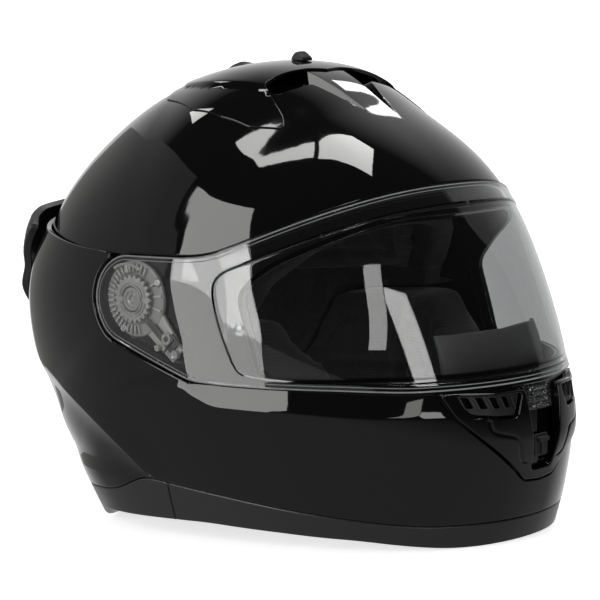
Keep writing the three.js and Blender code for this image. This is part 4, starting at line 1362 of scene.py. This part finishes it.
def anti_fog_pin(name, side):
    """A clear cup pressed into the lens that holds an anti-fog insert."""
    q = side_line([(-71.2, -14), (-70.8, -14)])[:1]
    face = normals(q, 0)[0]
    spot = surface(q, VISOR_OUTSIDE - VISOR_THICKNESS - 0.3)[0]
    flip = np.array([side, 1, 1])
    made = turned([(3.2, 0.05), (3.2, -0.6), (2.6, -0.95), (1.9, -0.95), (1.7, -0.3)], spot * flip, 32,
                  tuple(face * flip))
    return finished(made, f"anti_fog_pin_{name}_cup", CLEAR, "visor", f"anti_fog_pin_{name}", 0.12)


def base_screws(name, side):
    """The two screws of a visor base, each with a socket in its head."""
    for i, (u, v) in enumerate(((-17, 9), (9, -16))):
        made = bmesh.new()
        head = [(2.3, 0.2), (2.3, 0.6), (1.7, 1.1), (0.9, 1.15), (0.85, 0.5)]
        add_turned(made, [(radius, BASE_FACE + height) for radius, height in head], side, u, v, 24)
        node = f"base_screw_{name}_{i + 1}"
        finished(made, f"{node}_head", STEEL, "shell", node, 0.08)


# ---- Crown sliders ----
def crown_slider(name, node, joint_name, nose, ribs, length, width, height):
    """A knob with a sloping nose and grip ribs, lying along its joint's axis."""
    low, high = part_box(node)
    joint = next(entry for entry in frame["joints"] if entry["name"] == joint_name)
    tilt = math.atan2(joint["axis"][2], joint["axis"][1])
    half = width / 2
    sunk = -0.5
    shape = [(0, sunk), (length, sunk), (length, 0.5), (length - 1.2, height * 0.8), (length * 0.72, height),
             (length * 0.4, height * 0.96), (length * 0.12, nose * height), (0, nose * height * 0.6)]
    made = bmesh.new()
    rings = []
    for share, shrink in ((-1, 0.72), (-0.7, 1.0), (0.7, 1.0), (1, 0.72)):
        rings.append([made.verts.new((share * half, a, b * shrink)) for a, b in shape])
    for one, two in zip(rings, rings[1:]):
        for i in range(len(shape)):
            j = (i + 1) % len(shape)
            made.faces.new((one[i], one[j], two[j], two[i]))
    made.faces.new(rings[0][::-1])
    made.faces.new(rings[-1])
    for i in range(ribs):
        a = length * 0.42 + i * length * 0.11
        corners = [(-0.62 * half, a), (0.62 * half, a), (0.62 * half, a + 0.7), (-0.62 * half, a + 0.7)]
        prism(made, *([Vector((x, y, z)) for x, y in corners] for z in (height * 0.8, height + 0.35)))
    slope = length * math.sin(tilt)
    base = high.z / MM - height * math.cos(tilt) - max(0.72 * slope, 0.35 * slope)
    place = Matrix.Translation((0, low.y / MM + 0.2, base)) @ Matrix.Rotation(tilt, 4, "X")
    made.transform(Matrix.Scale(MM, 4) @ place)
    return finished(made, name, MATTE, joint["child"], node, 0.35)


outer_shell()
lower_trims()
visor_shield()
chin_vent_housing()
chin_vent_slider()
visor_lock_tab()
top_vent_fairing()
rear_spoiler()
eyeport_gasket()
crown_slider("sun_visor_slider_knob", "sun_visor_slider", "sun_slider", 0.3, 3, 17, 10, 3.6)
crown_slider("top_vent_slider_knob", "top_vent_slider", "top_vent_slide", 0.55, 2, 8, 9, 4.2)
# Painted highlight lines along the visor's edge.
painted_visor_rim_highlight()
for side_name, side_sign in (("left", 1), ("right", -1)):
    chin_vent_grille(side_name, side_sign)
    visor_base(side_name, side_sign)
    visor_ratchet(side_name, side_sign)
    visor_detent(side_name, side_sign)
    visor_release(side_name, side_sign)
    anti_fog_pin(side_name, side_sign)
    base_screws(side_name, side_sign)

# ---- Rigid inner pieces, smoothed ----
def copied(node_name, name):
    """A new object with a CAD node's mesh in world space."""
    node = frame["nodes"][node_name]
    mesh = node.data.copy()
    mesh.transform(node.matrix_world)
    mesh.materials.clear()
    return linked(name, mesh)


def applied(piece):
    """Applies a piece's modifiers."""
    graph = bpy.context.evaluated_depsgraph_get()
    mesh = bpy.data.meshes.new_from_object(piece.evaluated_get(graph), depsgraph=graph)
    piece.modifiers.clear()
    piece.data = mesh
    return piece


def eased(node_name, suffix, material, body, bevel, split=40):
    """A CAD node's shape with its sharp edges rounded and its curves shaded smooth."""
    piece = copied(node_name, f"{node_name}_{suffix}")
    made = bmesh.new()
    made.from_mesh(piece.data)
    bmesh.ops.remove_doubles(made, verts=made.verts[:], dist=1e-6)
    flat = math.radians(1.5)
    bmesh.ops.dissolve_limit(made, angle_limit=flat, verts=made.verts[:], edges=made.edges[:])
    if bevel:
        bevelled(made, 32, bevel)
    made.to_mesh(piece.data)
    made.free()
    return shaded(piece, material, body, node_name, split)


def softened(node_name, suffix, voxel, rounds):
    """A CAD node's shape as an even mesh with its edges smoothed."""
    piece = copied(node_name, f"{node_name}_{suffix}")
    change = piece.modifiers.new("voxels", "REMESH")
    change.mode = "VOXEL"
    change.voxel_size = voxel * MM
    applied(piece)
    smooth = piece.modifiers.new("soft", "SMOOTH")
    smooth.factor, smooth.iterations = 0.5, rounds
    return applied(piece)


def foam_block(node_name, voxel=2.5, rounds=6):
    """A moulded foam block: its CAD shape with all its edges softened."""
    return shaded(softened(node_name, "foam", voxel, rounds), FOAM, "shell", node_name, 0)


# ---- Soft goods ----
def line_gap(points, line):
    """The distance of points from a polyline in the same plane."""
    a, b = np.asarray(line[:-1], float), np.asarray(line[1:], float)
    span = b - a
    t = ((points[:, None] - a) * span).sum(2) / (span**2).sum(1)
    foot = a + np.clip(t, 0, 1)[:, :, None] * span
    return np.sqrt(((points[:, None] - foot) ** 2).sum(2)).min(1)


def read(mesh, field):
    """A mesh's vertex places or normals, one row each."""
    values = np.empty(len(mesh.vertices) * 3)
    mesh.vertices.foreach_get(field, values)
    return values.reshape(-1, 3)


def swollen(piece, shrink, pressure, frames=20):
    """Shrinks a piece and blows it up as cloth. Gives its first points, its normals and its last points."""
    mesh = piece.data
    start, normal = read(mesh, "co"), read(mesh, "normal")
    start = start - normal * shrink * MM
    mesh.vertices.foreach_set("co", start.ravel())
    mesh.update()
    cloth = piece.modifiers.new("cloth", "CLOTH")
    cloth.settings.use_pressure = True
    cloth.settings.uniform_pressure_force = pressure
    cloth.settings.effector_weights.gravity = 0
    cloth.settings.tension_stiffness = 12
    cloth.settings.compression_stiffness = 12
    cloth.settings.bending_stiffness = 0.4
    cloth.point_cache.frame_end = frames
    scene = bpy.context.scene
    for step in range(1, frames + 1):
        scene.frame_set(step)
    graph = bpy.context.evaluated_depsgraph_get()
    end = read(piece.evaluated_get(graph).data, "co")
    piece.modifiers.clear()
    scene.frame_set(1)
    return start / MM, normal, end / MM


def padded(node_name, body, seams_of, cap_of, voxel=4.5, shrink=1.2, pressure=4.0):
    """A sewn pad: a CAD node's solid blown up as cloth within limits, then drawn in along its seams."""
    piece = softened(node_name, "sewn", voxel, 3)
    start, normal, end = swollen(piece, shrink, pressure)
    move = end - start
    size = np.linalg.norm(move, axis=1)
    cap = cap_of(start, normal)
    move *= (np.minimum(size, cap) / np.maximum(size, 1e-9))[:, None]
    piece.data.vertices.foreach_set("co", ((start + move) * MM).ravel())
    piece.data.update()
    finer = piece.modifiers.new("finer", "SUBSURF")
    finer.levels = finer.render_levels = 1
    applied(piece)
    mesh = piece.data
    points, normal = read(mesh, "co") / MM, read(mesh, "normal")
    gap, weight = seams_of(points, normal)
    groove = 1.7 * np.exp(-((gap / 1.9) ** 2)) - 0.35 * np.exp(-(((gap - 4.6) / 2.2) ** 2))
    points = points - normal * (groove * weight)[:, None]
    mesh.vertices.foreach_set("co", (points * MM).ravel())
    mesh.update()
    return shaded(piece, CLOTH, body, node_name, 0)


def stitches(name, path, face, material, length, gap, radius, body="shell"):
    """A row of thread stitches along a path of points, lying on a surface with the given normals."""
    step = np.linalg.norm(np.diff(path, axis=0), axis=1)
    at = np.concatenate([[0], np.cumsum(step)])
    made_sheets = []
    for start in np.arange(0.5, at[-1] - length, length + gap):
        t = start + length * np.linspace(0, 1, 7)
        spot = np.stack([np.interp(t, at, path[:, k]) for k in range(3)], 1)
        up = np.stack([np.interp(t, at, face[:, k]) for k in range(3)], 1)
        rise = np.sin(np.linspace(0, math.pi, 7))[:, None]
        made_sheets.append(swept(spot + up * (rise * 0.5 - 0.12), up, ring_of(radius, radius, 6)))
    return mesh_object(name, made_sheets, material, body)


def cheek_seams(points, normal):
    """The distance from a cheek pad's seams, and 1 where its surface faces the head."""
    panel = [(-60, -26), (-70, -50), (-66, -78), (-30, -86), (14, -84), (27, -60), (8, -30), (-28, -22),
             (-60, -26)]
    flat = np.stack([points[:, 1] - PIVOT_Y, points[:, 2] - PIVOT_Z], 1)
    inward = ramp(-normal[:, 0] * np.sign(points[:, 0]), 0.2, 0.5)
    across = [(-66, -54), (26, -56)]
    return np.minimum(line_gap(flat, panel), line_gap(flat, across)), inward


def crown_seams(points, normal):
    """The distance from the crown pad's seams, and 1 where its surface faces the head."""
    u, v = points[:, 1] - PIVOT_Y, points[:, 2] - PIVOT_Z
    side = np.abs(np.abs(points[:, 0]) - 24 - 6 * np.cos(u / 60))
    rim = line_gap(np.stack([u, v], 1), [(150, 6), (-32, 11), (-58, 44), (-130, 56)])
    inward = ramp(-(normal * (points - np.array([0, HEAD_MIDDLE[1], HEAD_MIDDLE[2]]))).sum(1), 0, 30)
    return np.minimum(side, rim), inward


HEAD_MIDDLE = (0, 12, 110)


def head_side(start, normal, low, high):
    """A cap on the swelling: high where the cloth faces the head and low where it lies against the shell."""
    toward = np.array(HEAD_MIDDLE) - start
    facing = (normal * toward).sum(1) / np.linalg.norm(toward, axis=1)
    return low + (high - low) * ramp(facing, -0.1, 0.5)


def sewn_pads():
    """The cheek pads, the crown pad and the neck roll."""
    for side_name in ("left", "right"):
        padded(f"cheek_pad_{side_name}", "shell", cheek_seams, lambda s, n: head_side(s, n, 0.9, 5.5))
    padded("crown_pad", "shell", crown_seams, lambda s, n: head_side(s, n, 0.6, 3.2), voxel=4.0, shrink=0.8)
    no_seams = lambda p, n: (np.abs(p[:, 2] - PIVOT_Z + 90), ramp(-n[:, 1], 0.0, 0.5))
    padded("neck_roll", "shell", no_seams, lambda s, n: head_side(s, n, 0.8, 5.0))


def strap_points(inner_x, outer_x, z):
    """The strap's middle line in (x, z): under the chin, out to the shell's side and up to its rivet."""
    u = STRAP_Y - PIVOT_Y
    rise = []
    for v in (-98, -90, -82, -74, -66, -60):
        x = surface(side_line([(u, v), (u, v + 0.5)])[:1], -SHELL_INSIDE)[0][0] - 2.4
        rise.append((x, PIVOT_Z + v))
    points = [(inner_x, z), (outer_x, z), (80, z + 6.5), (92, 21), *rise]
    line = dense(rounded(points, 12), 2.0)
    along = np.gradient(line, axis=0)
    along /= np.linalg.norm(along, axis=1)[:, None]
    return line + np.stack([-along[:, 1], along[:, 0]], 1)


STRAP_Y = -14


def chin_strap(side_name, side, inner_x, outer_x, z):
    """Ribbed webbing with two rows of stitches at its end."""
    line = strap_points(inner_x, outer_x, z)
    path = np.stack([side * line[:, 0], np.full(len(line), STRAP_Y), line[:, 1]], 1)
    along = np.gradient(line, axis=0)
    up = np.stack([-side * along[:, 1], np.zeros(len(line)), along[:, 0]], 1)
    ridge = [(x, 0.75 + 0.16 * math.cos(x * 2.1)) for x in np.linspace(9.0, -9.0, 25)]
    outline = [(-9.6, -0.8), (9.6, -0.8), (9.9, -0.3), (9.9, 0.4), (9.5, 0.85), *ridge, (-9.5, 0.85),
               (-9.9, 0.4), (-9.9, -0.3)]
    node = f"chin_strap_{side_name}"
    mesh_object(f"{node}_webbing", [swept(path, up, outline)], WEBBING, "shell", node)
    face = up[2:9] / np.linalg.norm(up[2:9], axis=1)[:, None]
    for k, y in enumerate((-7.5, 7.5)):
        row = path[2:9] + np.array([0, y, 0]) + face * 0.95
        stitches(f"{node}_stitches_{k + 1}", row, face, THREAD, length=2.2, gap=1.0, radius=0.25)


def edge_binding():
    """The cloth binding along the inside of the shell's lower edge, sewn with red thread."""
    line = side_line(rounded([(50, -119.5), (41, -119), (-37, -118), (-83, -120.5), (-110, -123)], 10))
    base = surface(line, -SHELL_INSIDE - 1.6)
    face = normals(line, 0)
    path = base + np.array([0, 0, -0.6])
    roll = swept(path, face, ring_of(3.6, 1.5, 14))
    mesh_object("edge_binding_cloth", [whole_pair(roll)], CLOTH, "shell")
    lower = path + np.array([0, 0, -2.2]) + face * 1.0
    down = face * 0.6 + np.array([0, 0, -0.8])
    down /= np.linalg.norm(down, axis=1)[:, None]
    for name, flip in (("left", 1), ("right", -1)):
        mirror = np.array([flip, 1, 1])
        stitches(f"edge_binding_stitches_{name}", lower * mirror, down * mirror, THREAD, length=2.4, gap=1.4,
                 radius=0.3)


eased("sun_visor", "lens", SMOKE, "sun_visor", bevel=0.0, split=30)
eased("breath_deflector", "flap", MATTE, "shell", bevel=0.6)
eased("buckle_body", "cover", MATTE, "shell", bevel=0.5)
eased("buckle_pin", "pin", STEEL, "shell", bevel=0.3)
eased("buckle_lever", "lever", RED, "buckle_lever", bevel=0.4)
eased("ratchet_tongue", "strip", RED, "ratchet_tongue", bevel=0.25)
eased("chin_curtain", "cloth", CLOTH, "shell", bevel=0.5)
for side_name, side_sign in (("left", 1), ("right", -1)):
    eased(f"sun_pivot_{side_name}", "cap", STEEL, "shell", bevel=0.5)
    eased(f"strap_rivet_{side_name}", "head", STEEL, "shell", bevel=0.6)
foam_block("impact_liner")
foam_block("chin_liner")
sewn_pads()
chin_strap("left", 1, 29, 56, 7.2)
chin_strap("right", -1, 16, 67, 4.9)
edge_binding()


# ---- Studio ----
VIEW_FROM = (-50, 7.2)  # the camera's azimuth and elevation, in degrees
VIEW_PITCH = 2.7  # then it leans over about the x axis
VIEW_TARGET = (0, -0.0076, 0.1267)
VIEW_DISTANCE = 1.3
FOCAL_LENGTH = 138.84
LENS_SHIFT = (-0.00667, -0.02167)  # in picture widths


def facing(azimuth, elevation):
    """The direction at an azimuth from the front and an elevation, in degrees."""
    az, el = math.radians(azimuth), math.radians(elevation)
    return Vector((math.sin(az) * math.cos(el), -math.cos(az) * math.cos(el), math.sin(el)))


def camera():
    """The view from the front right, a little above the chin, through a long lens."""
    azimuth = math.radians(VIEW_FROM[0])
    turn = Matrix.Rotation(math.radians(VIEW_PITCH), 3, "X")
    back = turn @ facing(*VIEW_FROM)
    right = turn @ Vector((math.cos(azimuth), math.sin(azimuth), 0))
    data = bpy.data.cameras.new("camera")
    data.sensor_width = 36
    data.lens = FOCAL_LENGTH
    data.clip_start, data.clip_end = 0.05, 30
    data.shift_x, data.shift_y = LENS_SHIFT
    eye = linked("camera", data)
    eye.matrix_world = Matrix((right, back.cross(right), back)).transposed().to_4x4()
    eye.location = Vector(VIEW_TARGET) + back * VIEW_DISTANCE
    bpy.context.scene.camera = eye


def staged(name, made):
    """An object of the studio, from a bmesh."""
    mesh = bpy.data.meshes.new(name)
    made.to_mesh(mesh)
    made.free()
    piece = linked(name, mesh)
    return piece


def floor():
    """A pale floor that curves up into the background."""
    made = bmesh.new()
    rows = [(-3.0, 0.0), (1.6, 0.0)]
    rows += [(1.6 + 0.8 * math.sin(a), 0.8 - 0.8 * math.cos(a)) for a in np.radians(np.linspace(9, 90, 10))]
    rows += [(2.4, 4.0)]
    verts = [[made.verts.new((x, y, z)) for x in (-6, 6)] for y, z in rows]
    for a, b in zip(verts, verts[1:]):
        made.faces.new((a[0], a[1], b[1], b[0]))
    piece = staged("studio_floor", made)
    piece.data.polygons.foreach_set("use_smooth", [True] * len(piece.data.polygons))
    piece.rotation_euler.z = math.radians(VIEW_FROM[0])
    material, tree, output = shader("pale_floor")
    seen = add_node(tree, "ShaderNodeBsdfDiffuse", Color=(0.9, 0.9, 0.9, 1))
    fill = add_node(tree, "ShaderNodeEmission", Color=(1, 1, 1, 1), Strength=0.72)
    both = add_node(tree, "ShaderNodeAddShader")
    tree.links.new(seen.outputs[0], both.inputs[0])
    tree.links.new(fill.outputs[0], both.inputs[1])
    mirrored = add_node(tree, "ShaderNodeEmission", Color=(1, 1, 1, 1), Strength=0.35)
    camera_ray = add_node(tree, "ShaderNodeLightPath").outputs["Is Camera Ray"]
    surfaced(tree, output, mixed(tree, camera_ray, mirrored, both))
    piece.data.materials.append(material)
    piece.visible_glossy = False


def world():
    """White for the camera. In reflections it is pale behind and below the helmet and dark in front of it."""
    made = bpy.data.worlds.new("studio")
    bpy.context.scene.world = made
    made.use_nodes = True
    tree = made.node_tree
    tree.nodes.clear()
    output = tree.nodes.new("ShaderNodeOutputWorld")
    ray = add_node(tree, "ShaderNodeTexCoord").outputs["Generated"]
    dot = add_node(tree, "ShaderNodeVectorMath", p_operation="DOT_PRODUCT")
    tree.links.new(ray, dot.inputs[0])
    dot.inputs[1].default_value = bpy.context.scene.camera.matrix_world.to_3x3() @ Vector((0, 0, -1))
    behind = spread(tree, dot.outputs["Value"], 0.03, 0.9, 0.35, 0.9)
    height = add_node(tree, "ShaderNodeSeparateXYZ", Vector=ray).outputs["Z"]
    glow = arithmetic(tree, "MAXIMUM", behind, spread(tree, height, 0.0, 0.32, 0.0, -0.25))
    camera_ray = add_node(tree, "ShaderNodeLightPath").outputs["Is Camera Ray"]
    strength = arithmetic(tree, "MAXIMUM", glow, camera_ray)
    surfaced(tree, output, add_node(tree, "ShaderNodeBackground", Color=(1, 1, 1, 1), Strength=strength))


def softbox(name, corners, radiance, distance=5.0):
    """A light whose corners are seen from the helmet at the given azimuths and elevations, in degrees."""
    middle = Vector((0, 0, PIVOT_Z * MM))
    made = bmesh.new()
    made.faces.new([made.verts.new(middle + facing(*corner) * distance) for corner in corners])
    bmesh.ops.triangulate(made, faces=made.faces[:])
    lamp = staged(name, made)
    material, tree, output = shader(name)
    surfaced(tree, output, add_node(tree, "ShaderNodeEmission", Color=(1, 0.995, 0.98, 1), Strength=radiance))
    lamp.data.materials.append(material)
    lamp.visible_camera = False


camera()
floor()
world()
softbox("side_panel", [(-113, 38.5), (-91, 41), (-90, 12), (-98, -4), (-98.5, -12.5), (-122, -14),
                       (-118.6, 5), (-118.6, 19)], 5.5)
softbox("overhead_strip", [(-105.8, 65.8), (-102.0, 63.8), (-97.3, 68.9), (-90.3, 74.1), (-78.4, 78.8),
                           (-42.7, 83.5), (79.2, 83.5), (-91.4, 86.6), (-99.5, 78.3), (-103.3, 71.3)], 10)
softbox("overhead_panel", [(81.2, 80.8), (92.5, 62.7), (91.8, 58.9), (82.7, 56.8), (36.8, 64.2), (34.9, 72.8),
                           (20.3, 80.3), (-28, 83.0)], 10)
softbox("front_panel_inner", [(-36.4, 28.5), (-25.2, 31.2), (-32.9, 21.8), (-41.6, 12.5), (-50.7, 10.3),
                              (-42.3, 20.3)], 3.4, 5.4)
softbox("front_panel_outer", [(-29.7, 25.2), (-17.5, 26.0), (-17.6, 21.7), (-18.3, 5.7), (-31.3, 3.9),
                              (-32.2, 22.3)], 5)
softbox("far_panel", [(105.5, 39), (111, 37), (109, 31), (106.5, 33)], 7)
softbox("rear_panel", [(171, 41), (178, 51), (-176, 58), (-173, 48)], 7)
softbox("grey_wall", [(-114.5, 42.5), (-130, 40), (-166, 31.6), (175, 24), (150, 15), (150, -12), (-126, -12),
                      (-122, 5), (-121, 19)], 0.32, 5.6)

bpy.context.scene.view_settings.view_transform = "Standard"
